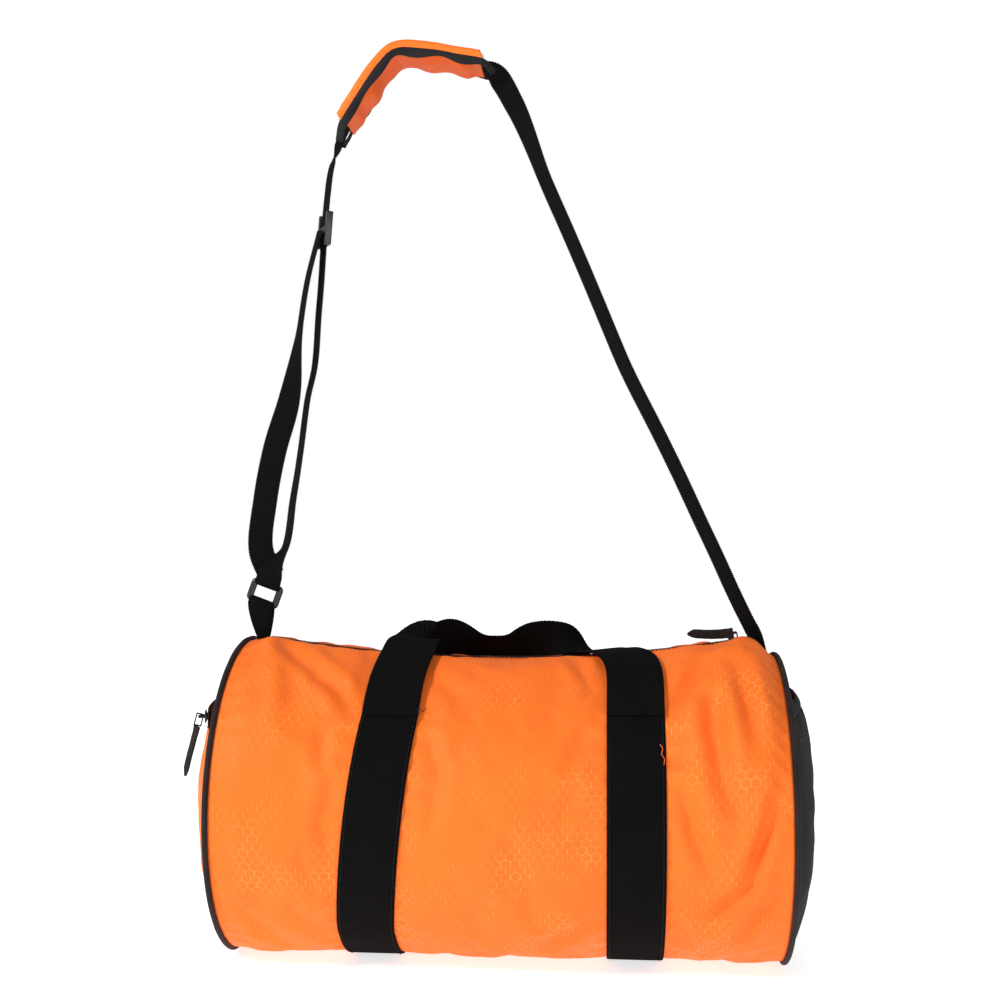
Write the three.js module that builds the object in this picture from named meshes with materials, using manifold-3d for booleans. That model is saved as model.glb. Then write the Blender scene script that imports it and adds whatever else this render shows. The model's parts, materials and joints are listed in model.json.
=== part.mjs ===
// Barrel duffel bag: a stuffed fabric barrel with a zip along the top, two carry handles, a zipped
// pocket on the left end, a mesh pocket on the right end and a padded, adjustable shoulder strap.
// Millimetres. +Z is up, +X points to the mesh pocket end, +Y to the back of the bag.
// The origin is the centre of the flat patch that the bag stands on.

import * as THREE from 'three';
import Module from 'manifold-3d';
import { mergeVertices } from 'three/addons/utils/BufferGeometryUtils.js';

const wasm = await Module();
wasm.setup();

const { degToRad, clamp, lerp } = THREE.MathUtils;

// ---------------------------------------------------------------- driving dimensions

const GAP = 0.35;
const FABRIC = 1.6;
const TAPE = 0.9;

const HALF_LENGTH = 250;
const RADIUS = 144;
const BASE_HALF_WIDTH = 46;
const LEFT_END_HEIGHT = 282;
const RIGHT_END_HEIGHT = 271;

const ZIP_ARC_RADIUS = 1360;
const ZIP_LOW_X = -9;
const ZIP_LOW_Z = 269;
const ZIP_HALF_LENGTH = 226;
const ZIP_SLOT_HALF = 7;

const BAND_WIDTH = 50;
const STRAP_WIDTH = 25;
const WEBBING = 1.6;
const STITCH_ANGLE = degToRad(45);
const LEFT_BAND_FOOT_X = -117;
const LEFT_BAND_TOP_X = -96;
const RIGHT_BAND_X = 118;

const PIPING_RADIUS = 2.6;
const END_DOME = 20;
const POCKET_DOME = 26;
const DOME_POWER = 3.5;

const STRAP_HINGE_Z = 292;
const STRAP_BASE_X = 233;
const RING_CENTRE = new THREE.Vector3(-235.5, 0, 327);
const RING_TILT = degToRad(20);

// ---------------------------------------------------------------- materials

const ORANGE = new THREE.MeshStandardMaterial({ color: 0xff7f32, roughness: 0.55, metalness: 0 });
const DARK_ORANGE = new THREE.MeshStandardMaterial({ color: 0xf26a24, roughness: 0.7, metalness: 0 });
const BLACK_WEBBING = new THREE.MeshStandardMaterial({ color: 0x151515, roughness: 0.85, metalness: 0 });
const BLACK_TAPE = new THREE.MeshStandardMaterial({ color: 0x1b1a1b, roughness: 0.8, metalness: 0 });
const BLACK_PIPING = new THREE.MeshStandardMaterial({ color: 0x282022, roughness: 0.6, metalness: 0 });
const BLACK_NYLON = new THREE.MeshStandardMaterial({ color: 0x101010, roughness: 0.35, metalness: 0 });
const BLACK_METAL = new THREE.MeshStandardMaterial({ color: 0x1a1a1c, roughness: 0.4, metalness: 0.8 });
const BLACK_MESH = new THREE.MeshStandardMaterial({ color: 0x161616, roughness: 0.9, metalness: 0 });
const FOAM = new THREE.MeshStandardMaterial({ color: 0xe8e4da, roughness: 0.95, metalness: 0 });

// ---------------------------------------------------------------- shape helpers

const bag = new THREE.Group();

function add(name, geometry, material, parent = bag) {
  const mesh = new THREE.Mesh(geometry, material);
  mesh.name = name;
  parent.add(mesh);
  return mesh;
}

// A closed body from points and triangles, turned so that its faces point out.
function closedBody(points, triangles) {
  let volume = 0;
  const normal = new THREE.Vector3();
  for (const [a, b, c] of triangles) {
    volume += points[a].dot(normal.crossVectors(points[b], points[c]));
  }
  const facing = volume > 0 ? triangles : triangles.map(([a, b, c]) => [a, c, b]);
  const geometry = new THREE.BufferGeometry().setFromPoints(points);
  geometry.setIndex(facing.flat());
  return geometry;
}

function quad(a, b, c, d) {
  return [[a, b, c], [a, c, d]];
}

// A sheet with thickness: outer and inner are equal grids of points, rows by columns.
function sheet(outer, inner) {
  const rows = outer.length;
  const columns = outer[0].length;
  const points = [...outer.flat(), ...inner.flat()];
  const out = (row, column) => row * columns + column;
  const back = (row, column) => rows * columns + row * columns + column;
  const triangles = [];
  for (let r = 0; r + 1 < rows; r += 1) {
    for (let c = 0; c + 1 < columns; c += 1) {
      triangles.push(...quad(out(r, c), out(r + 1, c), out(r + 1, c + 1), out(r, c + 1)));
      triangles.push(...quad(back(r, c), back(r, c + 1), back(r + 1, c + 1), back(r + 1, c)));
    }
  }
  for (let r = 0; r + 1 < rows; r += 1) {
    const last = columns - 1;
    triangles.push(...quad(out(r, 0), back(r, 0), back(r + 1, 0), out(r + 1, 0)));
    triangles.push(...quad(out(r, last), out(r + 1, last), back(r + 1, last), back(r, last)));
  }
  for (let c = 0; c + 1 < columns; c += 1) {
    const last = rows - 1;
    triangles.push(...quad(out(0, c), out(0, c + 1), back(0, c + 1), back(0, c)));
    triangles.push(...quad(out(last, c), back(last, c), back(last, c + 1), out(last, c + 1)));
  }
  return closedBody(points, triangles);
}

// A ring-shaped body: every section has the same number of points, and the sections close on themselves.
function closedLoop(sections) {
  const sides = sections[0].length;
  const triangles = [];
  sections.forEach((_, i) => {
    const next = (i + 1) % sections.length;
    for (let s = 0; s < sides; s += 1) {
      const t = (s + 1) % sides;
      triangles.push(...quad(i * sides + s, next * sides + s, next * sides + t, i * sides + t));
    }
  });
  return closedBody(sections.flat(), triangles);
}

// Sweeps a flat or crowned strip along a path. across(s) is the strip's width direction, and
// lift(v) raises it along its normal, with v from -1 to 1 over the width.
function strip({ path, across, width, thickness, steps, lift = () => 0, columns = 1 }) {
  const outer = [];
  const inner = [];
  for (let i = 0; i <= steps; i += 1) {
    const s = i / steps;
    const centre = path.getPoint(s);
    const tangent = path.getTangent(s);
    const side = across(s).clone();
    side.addScaledVector(tangent, -side.dot(tangent)).normalize();
    const normal = new THREE.Vector3().crossVectors(side, tangent);
    const wide = typeof width === 'function' ? width(s) : width;
    const place = (v, height) => centre.clone()
      .addScaledVector(side, v * wide / 2)
      .addScaledVector(normal, height);
    const spread = Array.from({ length: columns + 1 }, (_, c) => -1 + 2 * c / columns);
    outer.push(spread.map((v) => place(v, lift(v) + thickness / 2)));
    inner.push(spread.map((v) => place(v, lift(v) - thickness / 2)));
  }
  return sheet(outer, inner);
}

// Width directions given at a few places along a strip, blended in between.
function turning(keys) {
  return (s) => {
    const after = Math.max(1, keys.findIndex(([at]) => at >= s));
    const [s0, from] = keys[after - 1];
    const [s1, to] = keys[after];
    const t = clamp((s - s0) / (s1 - s0), 0, 1);
    return new THREE.Vector3().lerpVectors(from, to, t * t * (3 - 2 * t));
  };
}

function smooth(points) {
  return new THREE.CatmullRomCurve3(points, false, 'centripetal');
}

function toManifold(geometry) {
  const plain = geometry.clone();
  plain.deleteAttribute('normal');
  plain.deleteAttribute('uv');
  const merged = mergeVertices(plain, 1e-4);
  return new wasm.Manifold(new wasm.Mesh({
    numProp: 3,
    vertProperties: merged.attributes.position.array,
    triVerts: new Uint32Array(merged.index.array),
  }));
}

function fromManifold(body) {
  const mesh = body.getMesh();
  const geometry = new THREE.BufferGeometry();
  geometry.setAttribute('position', new THREE.BufferAttribute(mesh.vertProperties, 3));
  geometry.setIndex(new THREE.BufferAttribute(mesh.triVerts, 1));
  return geometry;
}

function boxAt(low, high) {
  const box = new THREE.Box3(new THREE.Vector3(...low), new THREE.Vector3(...high));
  const size = box.getSize(new THREE.Vector3());
  const centre = box.getCenter(new THREE.Vector3());
  return new THREE.BoxGeometry(size.x, size.y, size.z).translate(centre.x, centre.y, centre.z);
}

function extrudeCentred(shape, depth) {
  return new THREE.ExtrudeGeometry(shape, { depth, bevelEnabled: false, curveSegments: 6 })
    .translate(0, 0, -depth / 2);
}

function rectangle(halfWidth, halfHeight, centreX = 0, centreY = 0) {
  return [
    new THREE.Vector2(centreX - halfWidth, centreY - halfHeight),
    new THREE.Vector2(centreX + halfWidth, centreY - halfHeight),
    new THREE.Vector2(centreX + halfWidth, centreY + halfHeight),
    new THREE.Vector2(centreX - halfWidth, centreY + halfHeight),
  ];
}

function frameShape(outer, holes) {
  const shape = new THREE.Shape(outer);
  holes.forEach((hole) => shape.holes.push(new THREE.Path(hole)));
  return shape;
}

// ---------------------------------------------------------------- the barrel's skin

const BASE_CUT = RADIUS - Math.sqrt(RADIUS ** 2 - BASE_HALF_WIDTH ** 2);
const AXIS_Z = RADIUS - BASE_CUT;
const NOMINAL_HEIGHT = 2 * RADIUS - BASE_CUT;
const BASE_ANGLE = Math.PI - Math.asin(BASE_HALF_WIDTH / RADIUS);

// Height of the top line: the zip sags along an arc, and the ends drop to the end seams.
function ridgeHeight(x) {
  const alongZip = clamp(x, -ZIP_HALF_LENGTH, ZIP_HALF_LENGTH);
  const arc = ZIP_LOW_Z + ZIP_ARC_RADIUS - Math.sqrt(ZIP_ARC_RADIUS ** 2 - (alongZip - ZIP_LOW_X) ** 2);
  const endHeight = x < 0 ? LEFT_END_HEIGHT : RIGHT_END_HEIGHT;
  const beyond = clamp((Math.abs(x) - ZIP_HALF_LENGTH) / (HALF_LENGTH - ZIP_HALF_LENGTH), 0, 1);
  return lerp(arc, endHeight, beyond);
}

// A point of the barrel at x, at an angle from the top round the front, raised off the fabric.
function skin(x, angle, raised = 0) {
  const radius = RADIUS + raised;
  const height = Math.max(AXIS_Z + radius * Math.cos(angle), -raised);
  const scale = height > 0 ? ridgeHeight(x) / NOMINAL_HEIGHT : 1;
  return new THREE.Vector3(x, -radius * Math.sin(angle), height * scale);
}

// Angles from start round the front, the base and the back to end, with points on the base's edges.
function anglesRound(start, end, sideSteps = 14, baseSteps = 4) {
  const legs = [
    [start, BASE_ANGLE, sideSteps],
    [BASE_ANGLE, 2 * Math.PI - BASE_ANGLE, baseSteps],
    [2 * Math.PI - BASE_ANGLE, end, sideSteps],
  ];
  const angles = legs.flatMap(([from, to, steps]) => (
    Array.from({ length: steps }, (_, i) => lerp(from, to, i / steps))
  ));
  return [...angles, end];
}

function skinSheet(stations, angles, raisedOuter, raisedInner) {
  const at = (raised) => stations.map((x) => angles.map((angle) => skin(x, angle, raised)));
  return sheet(at(raisedOuter), at(raisedInner));
}

const SHELL_END = HALF_LENGTH - 2;
const SLOT_ANGLE = Math.asin(ZIP_SLOT_HALF / RADIUS);
const HALF_STATIONS = [50, 100, 150, 200, ZIP_HALF_LENGTH, 237, SHELL_END];
const STATIONS = [...HALF_STATIONS.map((x) => -x).reverse(), ZIP_LOW_X, ...HALF_STATIONS];

function mainPanel() {
  const angles = anglesRound(SLOT_ANGLE, 2 * Math.PI - SLOT_ANGLE);
  return skinSheet(STATIONS, angles, 0, -FABRIC);
}

// The outline of an end, closed, without its last repeated point.
function endOutline(x, raised, sideSteps = 14) {
  return anglesRound(0, 2 * Math.PI, sideSteps).slice(0, -1).map((angle) => skin(x, angle, raised));
}

function piping(side) {
  const x = side * HALF_LENGTH;
  const centres = endOutline(x, 0.6);
  const middle = new THREE.Vector3(x, 0, AXIS_Z);
  const sides = 6;
  return closedLoop(centres.map((centre) => {
    const outward = centre.clone().sub(middle).normalize();
    return Array.from({ length: sides }, (_, s) => {
      const turn = 2 * Math.PI * s / sides;
      return centre.clone()
        .addScaledVector(outward, PIPING_RADIUS * Math.cos(turn))
        .add(new THREE.Vector3(side * (PIPING_RADIUS * Math.sin(turn) + 1), 0, 0));
    });
  }));
}

// The tape that binds the end seam inside the bag, below the zip tapes' ends.
const SEAM_TAPE_DEPTH = 4.4;

function seamTape(side) {
  const inset = -FABRIC - GAP;
  const section = (angle) => [[240, inset], [246, inset], [246, inset - TAPE], [240, inset - TAPE]]
    .map(([x, raised]) => skin(side * x, angle, raised - SEAM_TAPE_DEPTH));
  const angles = anglesRound(0, 2 * Math.PI).slice(0, -1);
  return closedLoop(angles.map(section));
}

// A domed panel that closes an end: a grid of rings round the middle, bulging by depth.
function dome(side, standOff, depth, thickness, inset) {
  const rim = endOutline(side * HALF_LENGTH, -inset);
  const middle = new THREE.Vector3(side * HALF_LENGTH, 0, AXIS_Z);
  const rings = [1, 0.85, 0.65, 0.4];
  const shift = (point, fraction, extra) => {
    const bulge = standOff + depth * (1 - fraction ** DOME_POWER) + extra;
    return point.add(new THREE.Vector3(side * bulge, 0, 0));
  };
  const layer = (extra) => [
    ...rings.flatMap((fraction) => (
      rim.map((point) => shift(new THREE.Vector3().lerpVectors(middle, point, fraction), fraction, extra))
    )),
    shift(middle.clone(), 0, extra),
  ];
  const count = rim.length;
  const layerSize = rings.length * count + 1;
  const triangles = [];
  for (const [start, flip] of [[0, false], [layerSize, true]]) {
    const push = (a, b, c) => triangles.push(flip ? [a, c, b] : [a, b, c]);
    for (let i = 0; i < count; i += 1) {
      const j = (i + 1) % count;
      for (let ring = 0; ring + 1 < rings.length; ring += 1) {
        const a = start + ring * count;
        const b = a + count;
        push(a + i, a + j, b + j);
        push(a + i, b + j, b + i);
      }
      const last = start + (rings.length - 1) * count;
      push(last + i, last + j, start + layerSize - 1);
    }
  }
  for (let i = 0; i < count; i += 1) {
    const j = (i + 1) % count;
    triangles.push(...quad(i, layerSize + i, layerSize + j, j));
  }
  return closedBody([...layer(thickness), ...layer(0)], triangles);
}

function trimmed(geometry, low, high) {
  return fromManifold(toManifold(geometry).intersect(toManifold(boxAt(low, high))));
}

const PANEL_STAND_OFF = -2 + GAP;
const POCKET_STAND_OFF = PANEL_STAND_OFF + FABRIC + GAP;
const RIM_INSET = 3.6;

add('main_panel', mainPanel(), ORANGE);
add('left_end_panel', dome(-1, PANEL_STAND_OFF, END_DOME, FABRIC, RIM_INSET), ORANGE);
add('right_end_panel', dome(1, PANEL_STAND_OFF, END_DOME, FABRIC, RIM_INSET), ORANGE);
add('left_piping', piping(-1), BLACK_PIPING);
add('right_piping', piping(1), BLACK_PIPING);
add('left_seam_tape', seamTape(-1), BLACK_TAPE);
add('right_seam_tape', seamTape(1), BLACK_TAPE);

// ---------------------------------------------------------------- main zip

const ZIP_TAPE_OUTER_Y = 14;
const ZIP_TAPE_SLOPE = 1.6;
const COIL_OUTER_Y = 2.7;
const COIL_INNER_Y = 0.6;
const COIL_TOP = -1;
const COIL_BOTTOM = -3.6;
const SLIDER_X = 212;

// A bar of the zip along the sagging top line: y to y, with its top and bottom below the skin.
// Its outer side can sit lower, to follow the fabric that it is sewn under.
function zipBar(yFrom, yTo, top, bottom, slope = 0) {
  const at = (height) => STATIONS.map((x) => (
    [[yFrom, 0], [yTo, slope]].map(([y, drop]) => new THREE.Vector3(x, y, ridgeHeight(x) + height - drop))
  ));
  return sheet(at(top), at(bottom));
}

const TAPE_TOP = -FABRIC - GAP - 0.9;
for (const [place, side] of [['front', -1], ['rear', 1]]) {
  const [inner, outer] = [side * (COIL_OUTER_Y + GAP), side * ZIP_TAPE_OUTER_Y];
  const tape = zipBar(inner, outer, TAPE_TOP, TAPE_TOP - TAPE, ZIP_TAPE_SLOPE);
  const coil = zipBar(side * COIL_INNER_Y, side * COIL_OUTER_Y, COIL_TOP, COIL_BOTTOM);
  add(`zip_tape_${place}`, tape, BLACK_TAPE);
  add(`zip_coil_${place}`, coil, BLACK_NYLON);
}

// Slider body: two plates joined by a web between the coils, with an arch on top that holds the pull.
// Local frame: origin on the skin line, X along the zip, Z up.
const SLIDER_LENGTH = 10;
const PLATE_HALF_WIDTH = 5.4;
const PLATE_TOP = 0.4;
const UPPER_PLATE_BOTTOM = -0.6;
const LOWER_PLATE_TOP = -5.3;
const LOWER_PLATE_BOTTOM = -6.5;
const NECK_HALF_WIDTH = 0.25;
const ARCH_FOOT = 4.4;
const ARCH_SHOULDER = 4.2;
const ARCH_CORNER = 1.8;
const ARCH_BOTTOM = 0.2;
const ARCH_TOP = 6.5;
const ARCH_THICKNESS = 2;
const ARCH_HALF_OPENING = 3;
const ARCH_OPENING_BOTTOM = 0.3;
const ARCH_OPENING_TOP = 4.1;
const PIVOT_HEIGHT = 2.6;
const ROD_HEIGHT = (ARCH_OPENING_TOP + ARCH_TOP) / 2;

function sliderBody() {
  const halfSection = [
    [PLATE_HALF_WIDTH, PLATE_TOP],
    [PLATE_HALF_WIDTH, UPPER_PLATE_BOTTOM],
    [NECK_HALF_WIDTH, UPPER_PLATE_BOTTOM],
    [NECK_HALF_WIDTH, LOWER_PLATE_TOP],
    [PLATE_HALF_WIDTH, LOWER_PLATE_TOP],
    [PLATE_HALF_WIDTH, LOWER_PLATE_BOTTOM],
  ];
  const otherHalf = halfSection.map(([y, z]) => [-y, z]).reverse();
  const section = new THREE.Shape([...halfSection, ...otherHalf].map(([y, z]) => new THREE.Vector2(y, z)));
  const plates = extrudeCentred(section, SLIDER_LENGTH).rotateX(Math.PI / 2).rotateZ(Math.PI / 2);
  const corner = ARCH_SHOULDER - ARCH_CORNER;
  const cornerHeight = ARCH_TOP - ARCH_CORNER;
  const archOutline = new THREE.Shape();
  archOutline.moveTo(-ARCH_FOOT, ARCH_BOTTOM);
  archOutline.lineTo(-ARCH_SHOULDER, cornerHeight);
  archOutline.absarc(-corner, cornerHeight, ARCH_CORNER, Math.PI, Math.PI / 2, true);
  archOutline.absarc(corner, cornerHeight, ARCH_CORNER, Math.PI / 2, 0, true);
  archOutline.lineTo(ARCH_FOOT, ARCH_BOTTOM);
  archOutline.closePath();
  const openingHalfHeight = (ARCH_OPENING_TOP - ARCH_OPENING_BOTTOM) / 2;
  const openingCentre = (ARCH_OPENING_TOP + ARCH_OPENING_BOTTOM) / 2;
  const opening = rectangle(ARCH_HALF_OPENING, openingHalfHeight, 0, openingCentre);
  archOutline.holes.push(new THREE.Path(opening));
  const arch = extrudeCentred(archOutline, ARCH_THICKNESS).rotateX(Math.PI / 2);
  return fromManifold(toManifold(plates).add(toManifold(arch)));
}

// A rectangular wire link. Its bar on the pivot is at the origin, and it reaches along -X.
const LINK_REACH = 10.5;
const LINK_HALF_WIDTH = 3.6;
const LINK_WIRE = 1.2;

function pullLink() {
  const half = LINK_WIRE / 2;
  const centre = -LINK_REACH / 2;
  const outline = rectangle(LINK_REACH / 2 + half, LINK_HALF_WIDTH, centre);
  const hole = rectangle(LINK_REACH / 2 - half, LINK_HALF_WIDTH - LINK_WIRE, centre);
  return extrudeCentred(frameShape(outline, [hole]), LINK_WIRE);
}

// The soft tab: a folded strip with a pointed end, drawn in X and its own width direction.
const TAB_LENGTH = 46;
const TAB_HALF_WIDTH = 4.6;
const TAB_THICKNESS = 2.4;

function pullTab() {
  const shape = new THREE.Shape();
  shape.moveTo(0, -TAB_HALF_WIDTH * 0.8);
  shape.lineTo(0, TAB_HALF_WIDTH * 0.8);
  shape.quadraticCurveTo(-TAB_LENGTH * 0.4, TAB_HALF_WIDTH, -TAB_LENGTH + 10, TAB_HALF_WIDTH);
  shape.lineTo(-TAB_LENGTH, -TAB_HALF_WIDTH * 0.3);
  shape.lineTo(-TAB_LENGTH + 6, -TAB_HALF_WIDTH);
  shape.closePath();
  return extrudeCentred(shape, TAB_THICKNESS);
}

const zipCentre = new THREE.Group();
zipCentre.position.set(ZIP_LOW_X, 0, ZIP_LOW_Z + ZIP_ARC_RADIUS);
zipCentre.rotation.y = -Math.asin((SLIDER_X - ZIP_LOW_X) / ZIP_ARC_RADIUS);
bag.add(zipCentre);

const slider = new THREE.Group();
slider.position.z = -ZIP_ARC_RADIUS;
zipCentre.add(slider);
add('zip_slider', sliderBody(), BLACK_METAL, slider);

const pull = new THREE.Group();
pull.position.z = PIVOT_HEIGHT;
slider.add(pull);
add('zip_pull_link', pullLink(), BLACK_METAL, pull);

const TAB_YAW = degToRad(-16);
const tab = add('zip_pull_tab', pullTab(), BLACK_WEBBING, pull);
tab.rotation.set(degToRad(90), 0, 0);
tab.geometry.rotateY(TAB_YAW);
tab.position.set(-LINK_REACH - LINK_WIRE / 2 - GAP, 1, TAB_HALF_WIDTH - 0.6);

// ---------------------------------------------------------------- webbing bands under the bag

// The left band leans: its foot sits further out than its top.
function bandX(side, angle) {
  if (side > 0) {
    return RIGHT_BAND_X;
  }
  const fromTop = (Math.min(angle, Math.PI) - STITCH_ANGLE) / (Math.PI - STITCH_ANGLE);
  return lerp(LEFT_BAND_TOP_X, LEFT_BAND_FOOT_X, clamp(fromTop * 1.6, 0, 1));
}

function band(side) {
  const underBag = anglesRound(SLOT_ANGLE, 2 * Math.PI - SLOT_ANGLE)
    .filter((angle) => angle > STITCH_ANGLE + 0.05 && angle < 2 * Math.PI - STITCH_ANGLE - 0.05);
  const angles = [STITCH_ANGLE, ...underBag, 2 * Math.PI - STITCH_ANGLE];
  const at = (raised) => angles.map((angle) => {
    const mirrored = angle > Math.PI ? 2 * Math.PI - angle : angle;
    const x = bandX(side, mirrored);
    return [-1, 0, 1].map((v) => skin(x + v * BAND_WIDTH / 2, angle, raised));
  });
  return sheet(at(GAP + WEBBING), at(GAP));
}

add('left_band', band(-1), BLACK_WEBBING);
add('right_band', band(1), BLACK_WEBBING);

// ---------------------------------------------------------------- carry handles

const HANDLE_RAISED = 2.6;
const ACROSS_LEFT_LEG = new THREE.Vector3(1, 0, 0);
const ACROSS_RIGHT_LEG = new THREE.Vector3(-1, 0, 0);

// The front handle lies back over the zip, with its grip on edge behind the top line.
function frontHandle() {
  const path = smooth([
    skin(LEFT_BAND_TOP_X, STITCH_ANGLE - 0.02, HANDLE_RAISED),
    skin(LEFT_BAND_TOP_X + 1, degToRad(30), 4),
    skin(LEFT_BAND_TOP_X + 3, degToRad(14), 12),
    new THREE.Vector3(-89, 0, 291),
    new THREE.Vector3(-72, 32, 294),
    new THREE.Vector3(-36, 58, 278),
    new THREE.Vector3(6, 65, 271),
    new THREE.Vector3(46, 56, 279),
    new THREE.Vector3(80, 28, 294),
    new THREE.Vector3(105, -6, 292),
    skin(RIGHT_BAND_X - 2, degToRad(18), 11),
    skin(RIGHT_BAND_X, degToRad(31), 5),
    skin(RIGHT_BAND_X, STITCH_ANGLE - 0.02, HANDLE_RAISED),
  ]);
  const onEdge = new THREE.Vector3(0, 0.8, -0.6);
  const across = turning([
    [0, ACROSS_LEFT_LEG],
    [0.22, ACROSS_LEFT_LEG],
    [0.42, onEdge],
    [0.58, onEdge],
    [0.8, ACROSS_RIGHT_LEG],
    [1, ACROSS_RIGHT_LEG],
  ]);
  return strip({ path, across, width: BAND_WIDTH, thickness: WEBBING, steps: 48, columns: 2 });
}

// The rear handle hangs down the back: two legs and a grip that lies across them.
function rearHandle() {
  const down = (x, degrees, raised) => skin(x, -degToRad(degrees), raised);
  const path = smooth([
    down(LEFT_BAND_TOP_X, 46, 5),
    down(LEFT_BAND_TOP_X, 52, 8),
    down(LEFT_BAND_TOP_X, 60, 10),
    down(LEFT_BAND_TOP_X + 4, 74, 11),
    down(LEFT_BAND_TOP_X + 24, 86, 12),
    down(-30, 90, 12),
    down(50, 90, 12),
    down(RIGHT_BAND_X - 24, 86, 12),
    down(RIGHT_BAND_X - 4, 74, 11),
    down(RIGHT_BAND_X, 60, 10),
    down(RIGHT_BAND_X, 52, 9),
    down(RIGHT_BAND_X, 46, 5),
  ]);
  const upright = new THREE.Vector3(0, 0.25, 1);
  const across = turning([
    [0, ACROSS_LEFT_LEG],
    [0.2, ACROSS_LEFT_LEG],
    [0.42, upright],
    [0.58, upright],
    [0.8, ACROSS_RIGHT_LEG],
    [1, ACROSS_RIGHT_LEG],
  ]);
  return strip({ path, across, width: BAND_WIDTH, thickness: WEBBING, steps: 44, columns: 2 });
}

add('front_handle', frontHandle(), BLACK_WEBBING);
add('rear_handle', rearHandle(), BLACK_WEBBING);

// ---------------------------------------------------------------- left end pocket

const POCKET_ARC_RADIUS = 400;
const POCKET_ARC_X = 127;
const POCKET_ZIP_Z = 221;
const POCKET_ZIP_HALF_ANGLE = degToRad(13.5);
const POCKET_SLIDER_ANGLE = degToRad(11.4);
const POCKET_TOP_Z = 211;
const POCKET_TAPE_HALF_WIDTH = 9.5;
const POCKET_TAPE_REACH = 1.6;
const POCKET_COIL_REACH = 3.4;
const POCKET_COIL_BACK = 0.8;

const pocketPanel = dome(-1, POCKET_STAND_OFF, POCKET_DOME, FABRIC, RIM_INSET);
add('end_pocket_panel', trimmed(pocketPanel, [-400, -200, -20], [0, 200, POCKET_TOP_Z]), ORANGE);

// A bar of the pocket zip: it follows a level arc round the bulging end.
function pocketBar(zFrom, zTo, reachOuter, reachInner) {
  const steps = 12;
  const at = (reach) => Array.from({ length: steps + 1 }, (_, i) => {
    const angle = lerp(-POCKET_ZIP_HALF_ANGLE, POCKET_ZIP_HALF_ANGLE, i / steps);
    const radius = POCKET_ARC_RADIUS + reach;
    return [zFrom, zTo].map((z) => (
      new THREE.Vector3(POCKET_ARC_X - radius * Math.cos(angle), radius * Math.sin(angle), z)
    ));
  });
  return sheet(at(reachOuter), at(reachInner));
}

for (const [place, side] of [['lower', -1], ['upper', 1]]) {
  const z = (distance) => POCKET_ZIP_Z + side * distance;
  const tape = pocketBar(
    z(COIL_OUTER_Y + GAP), z(POCKET_TAPE_HALF_WIDTH), POCKET_TAPE_REACH, POCKET_TAPE_REACH - TAPE,
  );
  const coil = pocketBar(z(COIL_INNER_Y), z(COIL_OUTER_Y), POCKET_COIL_REACH, POCKET_COIL_BACK);
  add(`pocket_tape_${place}`, tape, BLACK_TAPE);
  add(`pocket_coil_${place}`, coil, BLACK_NYLON);
}

const pocketCentre = new THREE.Group();
pocketCentre.position.set(POCKET_ARC_X, 0, POCKET_ZIP_Z);
pocketCentre.rotation.z = POCKET_SLIDER_ANGLE;
bag.add(pocketCentre);

// The slider's own frame is turned so that its local Z points out of the end and local X along the zip.
const pocketSlider = new THREE.Group();
pocketSlider.position.x = -POCKET_ARC_RADIUS - POCKET_COIL_REACH - 1;
pocketSlider.rotation.set(Math.PI / 2, -Math.PI / 2, 0);
pocketCentre.add(pocketSlider);
add('pocket_slider', sliderBody(), BLACK_METAL, pocketSlider);

// This link hangs round the arch's rod, so its pull hangs down across the zip and tilts out over the bulge.
const POCKET_PULL_TILT = degToRad(-14);
const LINK_SETBACK = 2.3;
const pocketPull = new THREE.Group();
pocketPull.position.z = ROD_HEIGHT;
pocketPull.rotation.set(POCKET_PULL_TILT, 0, Math.PI / 2);
pocketSlider.add(pocketPull);
const pocketLink = add('pocket_pull_link', pullLink(), BLACK_METAL, pocketPull);
pocketLink.rotation.x = Math.PI / 2;
pocketLink.position.x = LINK_SETBACK;
const pocketTab = add('pocket_pull_tab', pullTab(), BLACK_WEBBING, pocketPull);
pocketTab.position.x = LINK_SETBACK - LINK_REACH - LINK_WIRE / 2 - GAP;

// ---------------------------------------------------------------- right end mesh pocket

const MESH_TOP_Z = 228;
const ELASTIC_WIDTH = 11;
const meshDome = dome(1, POCKET_STAND_OFF, POCKET_DOME, 1.2, RIM_INSET);
add('mesh_pocket', trimmed(meshDome, [0, -200, -20], [400, 200, MESH_TOP_Z]), BLACK_MESH);
const bindingDome = dome(1, POCKET_STAND_OFF - 0.1, POCKET_DOME, 2.4, RIM_INSET);
const bindingLow = MESH_TOP_Z + GAP;
const elastic = trimmed(bindingDome, [0, -200, bindingLow], [400, 200, bindingLow + ELASTIC_WIDTH]);
add('mesh_pocket_elastic', elastic, BLACK_WEBBING);

// ---------------------------------------------------------------- shoulder strap

const ringUp = new THREE.Vector3(Math.sin(RING_TILT), 0, Math.cos(RING_TILT));
const ringAcross = new THREE.Vector3(Math.cos(RING_TILT), 0, -Math.sin(RING_TILT));
const RING_HALF_WIDTH = 16.2;
const RING_HALF_HEIGHT = 11;
const RING_BAR = 3;

function strapRing() {
  const outline = rectangle(RING_HALF_WIDTH, RING_HALF_HEIGHT);
  const hole = rectangle(RING_HALF_WIDTH - RING_BAR, RING_HALF_HEIGHT - RING_BAR);
  return extrudeCentred(frameShape(outline, [hole]), RING_BAR).rotateX(Math.PI / 2);
}

const ring = add('strap_ring', strapRing(), BLACK_NYLON);
ring.position.copy(RING_CENTRE);
ring.rotation.y = RING_TILT;

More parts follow.
